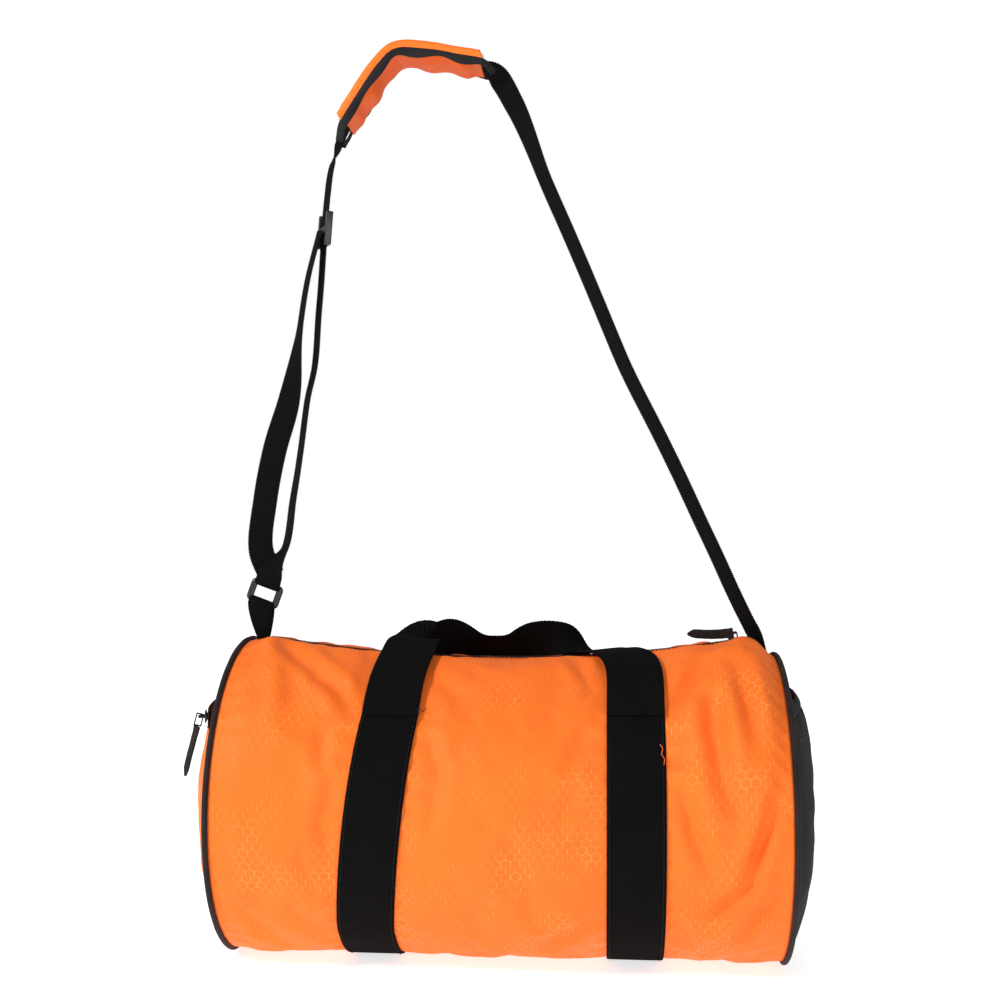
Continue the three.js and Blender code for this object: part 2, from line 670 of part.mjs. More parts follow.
// Points of a loop round one bar of the ring, from its back to its front or from front to back.
function roundBar(height, direction, fromBack) {
  const radius = RING_BAR * Math.SQRT1_2 + GAP + 0.9;
  const bar = RING_CENTRE.clone().addScaledVector(ringUp, height);
  const start = fromBack ? 1 : -1;
  return [0, 0.25, 0.5, 0.75, 1].map((t) => {
    const turn = Math.PI * t;
    return bar.clone()
      .add(new THREE.Vector3(0, start * radius * Math.cos(turn), 0))
      .addScaledVector(ringUp, direction * radius * Math.sin(turn));
  });
}

// The tab is folded over the ring's lower bar, and both its layers run down to the end seam.
function ringTab() {
  const foot = new THREE.Vector3(-236, 0, STRAP_HINGE_Z - 5);
  const barHeight = -(RING_HALF_HEIGHT - RING_BAR / 2);
  const path = smooth([
    foot.clone().add(new THREE.Vector3(0, -1.3, 0)),
    ...roundBar(barHeight, 1, false),
    foot.clone().add(new THREE.Vector3(0, 1.3, 0)),
  ]);
  const across = turning([[0, ACROSS_LEFT_LEG], [0.3, ringAcross], [0.7, ringAcross], [1, ACROSS_LEFT_LEG]]);
  const width = (s) => lerp(15, 25, Math.sin(Math.PI * s) ** 0.8);
  return strip({ path, across, width, thickness: 1.4, steps: 24 });
}

add('ring_tab', ringTab(), BLACK_WEBBING);

const STRAND_TOP = new THREE.Vector3(-174.5, 0, 708);
const STRAND_FOOT = new THREE.Vector3(-187, 0, 545);
const strandDown = STRAND_FOOT.clone().sub(STRAND_TOP).normalize();
const ADJUSTER_TURN = degToRad(25);
const adjusterAcross = new THREE.Vector3(Math.sin(ADJUSTER_TURN), -Math.cos(ADJUSTER_TURN), 0);
adjusterAcross.addScaledVector(strandDown, -adjusterAcross.dot(strandDown)).normalize();
const adjusterOut = new THREE.Vector3().crossVectors(strandDown, adjusterAcross).normalize();
const adjusterCentre = STRAND_TOP.clone().addScaledVector(strandDown, 32);

// Places along the strap, from the ring up the inner strand, over the pad and down to the right end.
const upperBar = RING_HALF_HEIGHT - RING_BAR / 2;
const PAD_START = new THREE.Vector3(-157, 0, 772);
const PAD_END = new THREE.Vector3(-17, 0, 826);
const strapPlaces = [
  ...roundBar(upperBar, -1, true),
  RING_CENTRE.clone().addScaledVector(ringUp, 24).add(new THREE.Vector3(0, -6, 0)),
  new THREE.Vector3(-214, -6, 372),
  new THREE.Vector3(-207, -2, 420),
  new THREE.Vector3(-200, 0, 468),
  new THREE.Vector3(-194, 0, 513),
  STRAND_FOOT,
  new THREE.Vector3().lerpVectors(STRAND_FOOT, STRAND_TOP, 0.33),
  new THREE.Vector3().lerpVectors(STRAND_FOOT, STRAND_TOP, 0.67),
  STRAND_TOP,
  new THREE.Vector3(-170, 0, 738),
  PAD_START,
  new THREE.Vector3(-140, 0, 800),
  new THREE.Vector3(-122, 0, 825),
  new THREE.Vector3(-103, 0, 838),
  new THREE.Vector3(-80, 0, 839),
  new THREE.Vector3(-50, 0, 834),
  PAD_END,
  new THREE.Vector3(6, 0, 792),
  new THREE.Vector3(37, 0, 716),
  new THREE.Vector3(72, 0, 635),
  new THREE.Vector3(110, 0, 544),
  new THREE.Vector3(152, 0, 459),
  new THREE.Vector3(187, 0, 384),
  new THREE.Vector3(214, 0, 325),
  new THREE.Vector3(STRAP_BASE_X - 5, 0, STRAP_HINGE_Z + 15),
  new THREE.Vector3(STRAP_BASE_X, 0, STRAP_HINGE_Z + 5),
];

const strapPath = smooth(strapPlaces);
const placeAt = (index) => index / (strapPlaces.length - 1);
const indexOf = (place) => strapPlaces.indexOf(place);

const EDGE_ON = new THREE.Vector3(0, -1, 0);
const faceTwist = new THREE.Vector3(0.45, -0.9, 0.1);
const strapAcross = turning([
  [0, ringAcross],
  [placeAt(5), ringAcross],
  [placeAt(7), adjusterAcross],
  [placeAt(indexOf(STRAND_TOP)), adjusterAcross],
  [placeAt(indexOf(PAD_START)), EDGE_ON],
  [placeAt(indexOf(PAD_END)), EDGE_ON],
  [placeAt(indexOf(PAD_END) + 2), faceTwist],
  [placeAt(indexOf(PAD_END) + 6), faceTwist],
  [1, ACROSS_LEFT_LEG],
]);

add('strap_webbing', strip({
  path: strapPath, across: strapAcross, width: STRAP_WIDTH, thickness: WEBBING, steps: 150,
}), BLACK_WEBBING);

// The return strand runs from behind the ring's upper bar up to the adjuster's middle bar.
const ADJUSTER_HALF_LENGTH = 16;
const ADJUSTER_HALF_WIDTH = 17.5;
const ADJUSTER_BAR = 2;
const ADJUSTER_CHANNEL = WEBBING + 2 * GAP;

function returnStrand() {
  const anchor = adjusterCentre.clone()
    .addScaledVector(adjusterOut, ADJUSTER_CHANNEL / 2 + ADJUSTER_BAR + GAP + 1.2)
    .addScaledVector(strandDown, 1);
  const path = smooth([
    RING_CENTRE.clone().addScaledVector(ringUp, 18).add(new THREE.Vector3(-1, 5, 0)),
    new THREE.Vector3(-241, 6, 369),
    new THREE.Vector3(-236, 3, 417),
    new THREE.Vector3(-226, 0, 465),
    new THREE.Vector3(-212, 0, 513),
    new THREE.Vector3(-203, 0, 571),
    new THREE.Vector3(-194, 0, 628),
    anchor,
  ]);
  const faceOn = new THREE.Vector3(1, -0.2, 0);
  const across = turning([
    [0, ringAcross],
    [0.18, faceOn],
    [0.42, faceOn],
    [0.75, adjusterAcross],
    [1, adjusterAcross],
  ]);
  return strip({ path, across, width: STRAP_WIDTH, thickness: WEBBING, steps: 40 });
}

add('strap_return', returnStrand(), BLACK_WEBBING);

// Three-bar adjuster: two end bars under the strap, a raised middle bar over it, two side rails.
// Local frame: X along the strap, Y across it, Z out through the middle bar.
function adjuster() {
  const railHeight = ADJUSTER_CHANNEL / 2 + ADJUSTER_BAR;
  const railInner = STRAP_WIDTH / 2 + GAP;
  const rail = (side) => boxAt(
    [-ADJUSTER_HALF_LENGTH, Math.min(side * railInner, side * ADJUSTER_HALF_WIDTH), -railHeight],
    [ADJUSTER_HALF_LENGTH, Math.max(side * railInner, side * ADJUSTER_HALF_WIDTH), railHeight],
  );
  const bar = (from, to, low, high) => boxAt([from, -railInner - 1, low], [to, railInner + 1, high]);
  const pieces = [
    rail(-1),
    rail(1),
    bar(-ADJUSTER_HALF_LENGTH, -ADJUSTER_HALF_LENGTH + 4.5, -railHeight, -ADJUSTER_CHANNEL / 2),
    bar(ADJUSTER_HALF_LENGTH - 4.5, ADJUSTER_HALF_LENGTH, -railHeight, -ADJUSTER_CHANNEL / 2),
    bar(-2.5, 2.5, ADJUSTER_CHANNEL / 2, railHeight),
  ];
  return fromManifold(pieces.map(toManifold).reduce((whole, piece) => whole.add(piece)));
}

const adjusterMesh = add('strap_adjuster', adjuster(), BLACK_NYLON);
adjusterMesh.position.copy(adjusterCentre);
adjusterMesh.quaternion.setFromRotationMatrix(new THREE.Matrix4().makeBasis(
  strandDown,
  new THREE.Vector3().crossVectors(adjusterOut, strandDown),
  adjusterOut,
));

// ---------------------------------------------------------------- shoulder pad

const PAD_WIDTH = 46;
const PAD_FOAM = 5;
const PAD_COVER = 1.2;
const PAD_BINDING = 3;
const PAD_BINDING_HEIGHT = 7;

// Part of the strap's own curve, so that the pad's layers lie parallel to the strap.
function alongPad(name, material, { width, thickness, centre, crown = 0, y = 0 }) {
  const from = placeAt(indexOf(PAD_START) + 0.1);
  const to = placeAt(indexOf(PAD_END) - 0.25);
  const path = {
    getPoint: (s) => strapPath.getPoint(lerp(from, to, s)).add(new THREE.Vector3(0, y, 0)),
    getTangent: (s) => strapPath.getTangent(lerp(from, to, s)),
  };
  const lift = (v) => centre + crown * (1 - v * v);
  const geometry = strip({ path, across: () => EDGE_ON, width, thickness, steps: 20, lift, columns: 4 });
  add(name, geometry, material);
}

const foamLow = WEBBING / 2 + GAP;
const coverLow = foamLow + PAD_FOAM + GAP;
alongPad('pad_foam', FOAM, { width: PAD_WIDTH - 6, thickness: PAD_FOAM, centre: foamLow + PAD_FOAM / 2 });
alongPad('pad_top_cover', ORANGE, {
  width: PAD_WIDTH, thickness: PAD_COVER, centre: coverLow + PAD_COVER / 2, crown: 1.5,
});
alongPad('pad_under_cover', DARK_ORANGE, {
  width: PAD_WIDTH, thickness: PAD_COVER, centre: -WEBBING / 2 - GAP - PAD_COVER / 2, crown: -3,
});
for (const [place, side] of [['front', -1], ['rear', 1]]) {
  alongPad(`pad_binding_${place}`, BLACK_WEBBING, {
    width: PAD_BINDING,
    thickness: PAD_BINDING_HEIGHT,
    centre: 2.6,
    y: side * (PAD_WIDTH / 2 + PAD_BINDING / 2 + GAP),
  });
}

export default bag;
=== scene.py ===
"""Barrel duffel bag: the fabric, webbing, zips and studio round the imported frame. Metres, +Z up."""

import json
import math

import bmesh
import bpy
import numpy as np
from mathutils import Matrix, Vector, noise


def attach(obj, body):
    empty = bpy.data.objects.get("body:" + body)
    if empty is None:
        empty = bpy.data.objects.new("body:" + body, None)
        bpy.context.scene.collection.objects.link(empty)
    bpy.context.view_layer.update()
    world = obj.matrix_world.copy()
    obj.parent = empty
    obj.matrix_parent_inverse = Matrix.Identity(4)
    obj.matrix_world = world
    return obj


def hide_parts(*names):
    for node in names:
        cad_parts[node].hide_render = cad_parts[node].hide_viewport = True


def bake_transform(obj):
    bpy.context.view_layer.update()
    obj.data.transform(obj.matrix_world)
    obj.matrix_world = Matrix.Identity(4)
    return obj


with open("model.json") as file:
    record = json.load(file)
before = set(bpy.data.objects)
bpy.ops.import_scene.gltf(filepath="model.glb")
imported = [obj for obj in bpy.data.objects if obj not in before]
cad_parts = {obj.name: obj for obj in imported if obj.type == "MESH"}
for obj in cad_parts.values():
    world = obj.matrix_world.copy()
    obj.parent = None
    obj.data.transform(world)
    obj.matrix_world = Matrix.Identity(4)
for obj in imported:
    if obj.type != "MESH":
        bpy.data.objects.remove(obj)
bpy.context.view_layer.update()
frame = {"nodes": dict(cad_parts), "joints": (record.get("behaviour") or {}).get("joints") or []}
joints = {joint["name"]: joint for joint in frame["joints"]}

MM = 0.001
TAU = 2 * math.pi

# ---------------------------------------------------------------- the barrel, as in the frame

HALF_LENGTH = 0.250
RADIUS = 0.144
BASE_HALF_WIDTH = 0.046
BASE_CUT = RADIUS - math.sqrt(RADIUS**2 - BASE_HALF_WIDTH**2)
AXIS_Z = RADIUS - BASE_CUT
NOMINAL_HEIGHT = 2 * RADIUS - BASE_CUT
BASE_SOFTNESS = 0.004
LEFT_END_HEIGHT = 0.282
RIGHT_END_HEIGHT = 0.271
ZIP_ARC_RADIUS = 1.360
ZIP_LOW_X = -0.009
ZIP_LOW_Z = 0.269
ZIP_HALF_LENGTH = 0.226
SLOT_HALF_WIDTH = 0.0055
SLOT_ANGLE = math.asin(SLOT_HALF_WIDTH / RADIUS)
STITCH_ANGLE = math.radians(45)
PANEL_END = HALF_LENGTH - 0.0015
REAR_TOP_Z = 0.2  # the upper back of the panel lies above this

BAND_WIDTH = 0.050
LEFT_BAND_FOOT_X = -0.117
LEFT_BAND_TOP_X = -0.096
RIGHT_BAND_X = 0.118
WEBBING = 0.0016
RIB_PITCH = 0.0021
STRAP_WIDTH = 0.025

STRAP_HINGE = Vector((0, 0, 0.292))
RING_CENTRE = Vector((-0.2355, 0, 0.327))
RING_TILT = math.radians(20)
RING_UP = Vector((math.sin(RING_TILT), 0, math.cos(RING_TILT)))
RING_ACROSS = Vector((math.cos(RING_TILT), 0, -math.sin(RING_TILT)))
BAR_REACH = 0.0095

POCKET_ARC_RADIUS = 0.400
POCKET_ARC_X = 0.127
POCKET_ZIP_Z = 0.221
POCKET_ZIP_HALF_ANGLE = math.radians(13.5)
COIL_PITCH = 1.75 * MM


def mix(a, b, t):
    return a + (b - a) * t


def clamp(value, low=0.0, high=1.0):
    return max(low, min(high, value))


def ease(t):
    t = clamp(t)
    return t * t * (3 - 2 * t)


def ridge_height(x):
    along = clamp(x, -ZIP_HALF_LENGTH, ZIP_HALF_LENGTH)
    arc = ZIP_LOW_Z + ZIP_ARC_RADIUS - math.sqrt(ZIP_ARC_RADIUS**2 - (along - ZIP_LOW_X) ** 2)
    end = LEFT_END_HEIGHT if x < 0 else RIGHT_END_HEIGHT
    beyond = clamp((abs(x) - ZIP_HALF_LENGTH) / (HALF_LENGTH - ZIP_HALF_LENGTH))
    return mix(arc, end, ease(beyond))


def skin(x, angle, raised=0.0):
    """A point of the barrel at x, at an angle from the top round the front, raised off the fabric."""
    radius = RADIUS + raised
    height = AXIS_Z + radius * math.cos(angle) + raised
    height = 0.5 * (height + math.hypot(height, BASE_SOFTNESS)) - raised
    if height > 0:
        height *= ridge_height(x) / NOMINAL_HEIGHT
    return Vector((x, -radius * math.sin(angle), height))


def skin_normal(x, angle):
    return (skin(x, angle, 0.002) - skin(x, angle, 0)).normalized()


def from_top(angle):
    """The angle from the zip, round whichever side is nearer."""
    return min(angle, TAU - angle)


def band_x(side, angle):
    """Centre line of a webbing band at an angle from the top. The left band leans out to its foot."""
    if side > 0:
        return RIGHT_BAND_X
    below_stitch = (from_top(angle) - STITCH_ANGLE) / (math.pi - STITCH_ANGLE)
    return mix(LEFT_BAND_TOP_X, LEFT_BAND_FOOT_X, clamp(below_stitch * 1.6))


def beside_band(x, angle):
    """Distance along x from the edge of the nearer band's line, negative inside it."""
    return min(abs(x - band_x(side, angle)) for side in (-1, 1)) - BAND_WIDTH / 2


# ---------------------------------------------------------------- mesh helpers


def make_object(name, vertices, faces, material, uvs=None):
    mesh = bpy.data.meshes.new(name)
    mesh.from_pydata([tuple(v) for v in vertices], [], faces)
    mesh.validate()
    if uvs is not None:
        layer = mesh.uv_layers.new(name="UVMap")
        corner_vertices = np.empty(len(mesh.loops), dtype=np.int32)
        mesh.loops.foreach_get("vertex_index", corner_vertices)
        layer.data.foreach_set("uv", np.asarray(uvs, dtype=np.float32)[corner_vertices].ravel())
    mesh.polygons.foreach_set("use_smooth", [True] * len(mesh.polygons))
    mesh.materials.append(material)
    obj = bpy.data.objects.new(name, mesh)
    bpy.context.collection.objects.link(obj)
    fix_normals(mesh)
    return obj


def fix_normals(mesh):
    shape = bmesh.new()
    shape.from_mesh(mesh)
    bmesh.ops.recalc_face_normals(shape, faces=shape.faces)
    shape.to_mesh(mesh)
    shape.free()


def stand_in(obj, node, body=None):
    """Shows a piece in place of a node of the frame. A piece that bends between two bodies gives none."""
    if body:
        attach(obj, body)
    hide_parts(node)


def bake_modifiers(obj):
    """Keeps what the modifiers make, and removes them."""
    depsgraph = bpy.context.evaluated_depsgraph_get()
    evaluated = obj.evaluated_get(depsgraph)
    mesh = bpy.data.meshes.new_from_object(evaluated, preserve_all_data_layers=True, depsgraph=depsgraph)
    obj.modifiers.clear()
    obj.data = mesh


def join_meshes(name, pieces, material):
    """One object from several vertex and face lists."""
    vertices, faces = [], []
    for piece_vertices, piece_faces in pieces:
        start = len(vertices)
        vertices += piece_vertices
        faces += [[start + i for i in face] for face in piece_faces]
    return make_object(name, vertices, faces, material)


def closed_sheet(outer, inner):
    """Faces of a sheet with thickness from two equal grids of points, rows by columns."""
    rows, columns = len(outer), len(outer[0])
    layer = rows * columns

    def at(row, column, back=0):
        return back * layer + row * columns + column

    faces = []
    for r in range(rows - 1):
        for c in range(columns - 1):
            faces.append((at(r, c), at(r + 1, c), at(r + 1, c + 1), at(r, c + 1)))
            faces.append((at(r, c, 1), at(r, c + 1, 1), at(r + 1, c + 1, 1), at(r + 1, c, 1)))
        last = columns - 1
        faces.append((at(r, 0), at(r, 0, 1), at(r + 1, 0, 1), at(r + 1, 0)))
        faces.append((at(r, last), at(r + 1, last), at(r + 1, last, 1), at(r, last, 1)))
    for c in range(columns - 1):
        last = rows - 1
        faces.append((at(0, c), at(0, c + 1), at(0, c + 1, 1), at(0, c, 1)))
        faces.append((at(last, c), at(last, c, 1), at(last, c + 1, 1), at(last, c + 1)))
    vertices = [p for row in outer for p in row] + [p for row in inner for p in row]
    return vertices, faces


def sheet_object(name, outer, inner, material, uvs=None):
    """A sheet with thickness, with the same uvs on both of its faces."""
    vertices, faces = closed_sheet(outer, inner)
    flat = [uv for row in uvs for uv in row] * 2 if uvs else None
    return make_object(name, vertices, faces, material, flat)


def distance_run(points):
    """How far along a line of points each one comes."""
    return np.concatenate([[0], np.cumsum(np.linalg.norm(np.diff(points, axis=0), axis=1))])


def catmull(points, samples):
    """Smooth curve through points, evenly spaced along its length."""
    knots = [Vector(p) for p in points]
    knots = [knots[0] * 2 - knots[1], *knots, knots[-1] * 2 - knots[-2]]
    dense = []
    per_span = 24
    for i in range(1, len(knots) - 2):
        p0, p1, p2, p3 = knots[i - 1 : i + 3]
        d0, d1, d2 = (max((b - a).length, 1e-6) ** 0.5 for a, b in ((p0, p1), (p1, p2), (p2, p3)))
        m1 = (p1 - p0) / d0 - (p2 - p0) / (d0 + d1) + (p2 - p1) / d1
        m2 = (p2 - p1) / d1 - (p3 - p1) / (d1 + d2) + (p3 - p2) / d2
        m1, m2 = m1 * d1, m2 * d1
        for k in range(per_span):
            t = k / per_span
            dense.append(
                p1 * (2 * t**3 - 3 * t**2 + 1)
                + m1 * (t**3 - 2 * t**2 + t)
                + p2 * (-2 * t**3 + 3 * t**2)
                + m2 * (t**3 - t**2)
            )
    dense.append(knots[-2])
    xyz = np.array(dense)
    arc = distance_run(xyz)
    wanted = np.linspace(0, arc[-1], samples)
    even = np.stack([np.interp(wanted, arc, xyz[:, k]) for k in range(3)], axis=1)
    return even, wanted


def turning(keys):
    """Width directions given at a few fractions of a strip, blended in between."""

    def direction(s):
        for (s0, a), (s1, b) in zip(keys, keys[1:]):
            if s <= s1:
                return Vector(a).lerp(Vector(b), ease((s - s0) / (s1 - s0)))
        return Vector(keys[-1][1])

    return direction


def strip_frames(points, across, spacing=RIB_PITCH / 2):
    """Even stations along a path: centre, width direction, normal and distance run."""
    rough, arc = catmull(points, 200)
    count = max(8, int(arc[-1] / spacing))
    centres, arc = catmull(points, count)
    tangents = np.gradient(centres, axis=0)
    stations = []
    for i in range(count):
        tangent = Vector(tangents[i]).normalized()
        side = across(i / (count - 1))
        side = (side - tangent * side.dot(tangent)).normalized()
        stations.append((Vector(centres[i]), side, side.cross(tangent), arc[i]))
    return stations


def strip_object(name, stations, width, material, thickness=WEBBING, columns=6, rib=0.00016, push=None):
    """A webbing strip with cross ribs, thinner rounded edges and a lightly toothed selvedge.

    push(point) is how far a point of the strip has to move to stay clear of what lies under it.
    """
    outer, inner, uvs = [], [], []
    for i, (centre, side, normal, run) in enumerate(stations):
        s = i / (len(stations) - 1)
        wide = width(s) if callable(width) else width
        crest = 1 if i % 2 else -1
        half = wide / 2 + crest * rib * 0.9
        row_out, row_in, row_uv = [], [], []
        for c in range(columns + 1):
            v = -math.cos(math.pi * c / columns)
            body = thickness / 2 * (1 - 0.45 * abs(v) ** 8) + crest * rib
            middle = centre + side * (v * half)
            if push:
                middle = middle + push(middle)
            row_out.append(middle + normal * body)
            row_in.append(middle - normal * body)
            row_uv.append((v * wide / 2, run))
        outer.append(row_out)
        inner.append(row_in)
        uvs.append(row_uv)
    return sheet_object(name, outer, inner, material, uvs)


def tube_faces(rings, sides, closed):
    faces = []
    span = rings if closed else rings - 1
    for i in range(span):
        j = (i + 1) % rings
        for s in range(sides):
            t = (s + 1) % sides
            faces.append((i * sides + s, j * sides + s, j * sides + t, i * sides + t))
    if not closed:
        faces.append(tuple(range(sides - 1, -1, -1)))
        faces.append(tuple((rings - 1) * sides + s for s in range(sides)))
    return faces


def tube(points, radius, sides=8, closed=False, squashed=1.0, up=None):
    """Vertices and faces of a round cord along points. radius may be a function of the fraction run."""
    count = len(points)
    vertices = []
    for i, point in enumerate(points):
        ahead = Vector(points[(i + 1) % count]) if closed or i + 1 < count else Vector(point)
        behind = Vector(points[i - 1]) if closed or i > 0 else Vector(point)
        tangent = (ahead - behind).normalized()
        guide = Vector(up(i)) if up else Vector((0, 1, 0)) if abs(tangent.y) < 0.9 else Vector((1, 0, 0))
        side = tangent.cross(guide).normalized()
        over = side.cross(tangent)
        size = radius(i / max(1, count - 1)) if callable(radius) else radius
        for s in range(sides):
            turn = TAU * s / sides
            outward = side * (size * math.cos(turn))
            vertices.append(Vector(point) + outward + over * (size * squashed * math.sin(turn)))
    return vertices, tube_faces(count, sides, closed)


def stitches(name, lines, body, material):
    """Rows of raised thread stitches. A line is a list of (point, outward normal) along a seam."""
    length, gap, radius = 2.6 * MM, 1.1 * MM, 0.28 * MM
    pieces = []
    for line in lines:
        points = np.array([p for p, _ in line])
        normals = np.array([n for _, n in line])
        arc = distance_run(points)

        def at(distance):
            place = Vector([np.interp(distance, arc, points[:, k]) for k in range(3)])
            out = Vector([np.interp(distance, arc, normals[:, k]) for k in range(3)]).normalized()
            return place, out

        for n in range(int(arc[-1] / (length + gap))):
            start = n * (length + gap)
            (a, na), (m, nm), (b, nb) = at(start), at(start + length / 2), at(start + length)
            curve = [
                a - na * radius,
                a.lerp(m, 0.4) + nm * radius * 0.6,
                m + nm * radius * 0.8,
                b.lerp(m, 0.4) + nm * radius * 0.6,
                b - nb * radius,
            ]
            pieces.append(tube(curve, radius, sides=5, up=lambda i, out=nm: out))
    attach(join_meshes(name, pieces, material), body)


def speckle(point, scale, seed=0.0):
    """Smooth repeatable noise, about -1 to 1."""
    return noise.noise(Vector(point) * scale + Vector((seed, seed * 1.7, -seed)))


# ---------------------------------------------------------------- materials


class Graph:
    """A small helper for building a node material."""

    def __init__(self, name, **principled):
        self.material = bpy.data.materials.new(name)
        self.material.use_nodes = True
        self.tree = self.material.node_tree
        self.shader = self.tree.nodes["Principled BSDF"]
        self.fill(self.shader, principled)

    def fill(self, node, values):
        for key, value in values.items():
            socket = node.inputs[key.replace("_", " ")] if isinstance(key, str) else node.inputs[key]
            if isinstance(value, bpy.types.NodeSocket):
                self.tree.links.new(value, socket)
            else:
                socket.default_value = value

    def node(self, kind, inputs=None, **settings):
        node = self.tree.nodes.new(kind)
        for key, value in settings.items():
            setattr(node, key, value)
        self.fill(node, inputs or {})
        return node

    def math(self, operation, a, b=0.0, c=0.0, limit=False):
        node = self.node("ShaderNodeMath", {0: a, 1: b, 2: c}, operation=operation, use_clamp=limit)
        return node.outputs[0]

    def vector(self, operation, a, b=(0, 0, 0)):
        node = self.node("ShaderNodeVectorMath", {0: a, 1: b}, operation=operation)
        return node.outputs["Value" if operation in ("LENGTH", "DOT_PRODUCT") else "Vector"]

    def scale(self, colour, factor):
        node = self.node("ShaderNodeVectorMath", {0: colour, "Scale": factor}, operation="SCALE")
        return node.outputs["Vector"]

    def blend(self, factor, a, b):
        node = self.node("ShaderNodeMix", data_type="RGBA")
        self.fill(node, {0: factor, 6: a, 7: b})
        return node.outputs[2]

    def range(self, value, low, high, to_low=0.0, to_high=1.0):
        return self.node("ShaderNodeMapRange", {0: value, 1: low, 2: high, 3: to_low, 4: to_high}).outputs[0]

    def noise(self, place, scale, detail=3.0, roughness=0.5):
        inputs = {"Vector": place, "Scale": scale, "Detail": detail, "Roughness": roughness}
        return self.node("ShaderNodeTexNoise", inputs).outputs[0]

    def bump(self, height, distance, strength=1.0, normal=None):
        node = self.node("ShaderNodeBump", {"Height": height, "Distance": distance, "Strength": strength})
        if normal is not None:
            self.tree.links.new(normal, node.inputs["Normal"])
        return node.outputs[0]

    def uv(self):
        return self.node("ShaderNodeUVMap").outputs[0]

    def place(self):
        return self.node("ShaderNodeNewGeometry").outputs["Position"]


def hex_cells(graph, across_flats, row_pitch):
    """Offset from the middle of the nearest honeycomb cell, and how far out it is: 0.5 on a cell's edge."""
    root3 = math.sqrt(3)
    cells = graph.vector("DIVIDE", graph.uv(), (across_flats, row_pitch * 2 / root3, 1))
    period = (1, root3, 1)

    def from_middle(shift):
        moved = graph.vector("ADD", cells, (400 + shift[0], 400 * root3 + shift[1], 0.5))
        wrapped = graph.vector("MODULO", moved, period)
        return graph.vector("SUBTRACT", wrapped, (0.5, root3 / 2, 0.5))

    first, second = from_middle((0, 0)), from_middle((0.5, root3 / 2))
    nearer = graph.math("LESS_THAN", graph.vector("LENGTH", first), graph.vector("LENGTH", second))
    pick = graph.node("ShaderNodeMix", data_type="VECTOR")
    graph.fill(pick, {0: nearer, 4: second, 5: first})
    offset = pick.outputs[1]
    away = graph.vector("ABSOLUTE", offset)
    flat_side = graph.vector("DOT_PRODUCT", away, (1, 0, 0))
    slant_side = graph.vector("DOT_PRODUCT", away, (0.5, root3 / 2, 0))
    return offset, flat_side, graph.math("MAXIMUM", flat_side, slant_side)


PAINTED_GLOW = (1.0, 0.15, 0.01, 1)  # painted glow: a faint orange emission over the whole nylon that lifts the shade in its folds, in place of the little light that comes through thin nylon


def honeycomb_nylon(name, base, light, dark_tone_and_shadow):
    """Thin nylon with a woven honeycomb: raised pale threads, clear in patches and faint elsewhere. Where
    they are clear the threads are brightened as painted highlight, a painted shadow lies beside each of
    them, and a faint painted glow lifts the shade in the folds.
    """
    graph = Graph(name, Roughness=0.5, Specular_IOR_Level=0.13, Sheen_Weight=0.0,
                  Emission_Color=PAINTED_GLOW, Emission_Strength=0.07)
    offset, flat_side, edge = hex_cells(graph, 8 * MM, 6.2 * MM)
    line = graph.range(edge, 0.466, 0.488)
    tick = graph.range(flat_side, 0.472, 0.490)
    place = graph.place()
    # painted highlight: noise patches where the pale threads are drawn clear and bright stand for where
    # light glints off them
    highlight_patch = graph.range(graph.noise(place, 15, 3.5), 0.51, 0.66)
    broken = graph.range(graph.noise(place, 130, 2.0), 0.38, 0.62, 0.45, 1.0)
    shown_line = graph.math("MULTIPLY", line, graph.range(highlight_patch, 0, 1, 0.03, 0.95))
    faint = graph.range(graph.noise(place, 34, 3.0), 0.42, 0.62, 0.10, 0.62)
    shown_tick = graph.math("MULTIPLY", tick, faint)
    shown = graph.math("ADD", graph.math("MULTIPLY", shown_line, broken), shown_tick, limit=True)
    inside = graph.node("ShaderNodeSeparateXYZ", {0: offset}).outputs[0]
    # painted shadow: a darker band just inside each cell along one side of its thread, where the raised
    # thread would shade the cloth
    painted_thread_shadow = graph.range(inside, 0.38, 0.43)
    painted_thread_shadow = graph.math("SUBTRACT", painted_thread_shadow, graph.range(inside, 0.43, 0.462), limit=True)
    cloudy = graph.range(graph.noise(place, 7, 3.0), 0.3, 0.7)
    cloth = graph.blend(graph.math("MULTIPLY", cloudy, 0.35), base, dark_tone_and_shadow)
    cloth = graph.blend(graph.math("MULTIPLY", painted_thread_shadow, 0.8), cloth, dark_tone_and_shadow)
    # the threads take the pale colour: their own paler tone, brightened as painted highlight where the
    # patches show them clearly
    colour = graph.blend(shown, cloth, light)
    weave = graph.noise(graph.vector("MULTIPLY", graph.uv(), (2600, 2600, 1)), 1.0, 1.0)
    raised = graph.bump(line, 0.1 * MM, 0.5)
    crinkle = graph.bump(graph.noise(place, 90, 4.0, 0.6), 0.7 * MM, 0.35, raised)
    normal = graph.bump(weave, 0.05 * MM, 0.4, crinkle)
    sheen = graph.range(graph.math("ADD", highlight_patch, graph.math("MULTIPLY", line, 0.4)), 0, 1.4, 0.56, 0.4)
    graph.fill(graph.shader, {"Base Color": colour, "Roughness": sheen, "Normal": normal})
    return graph.material


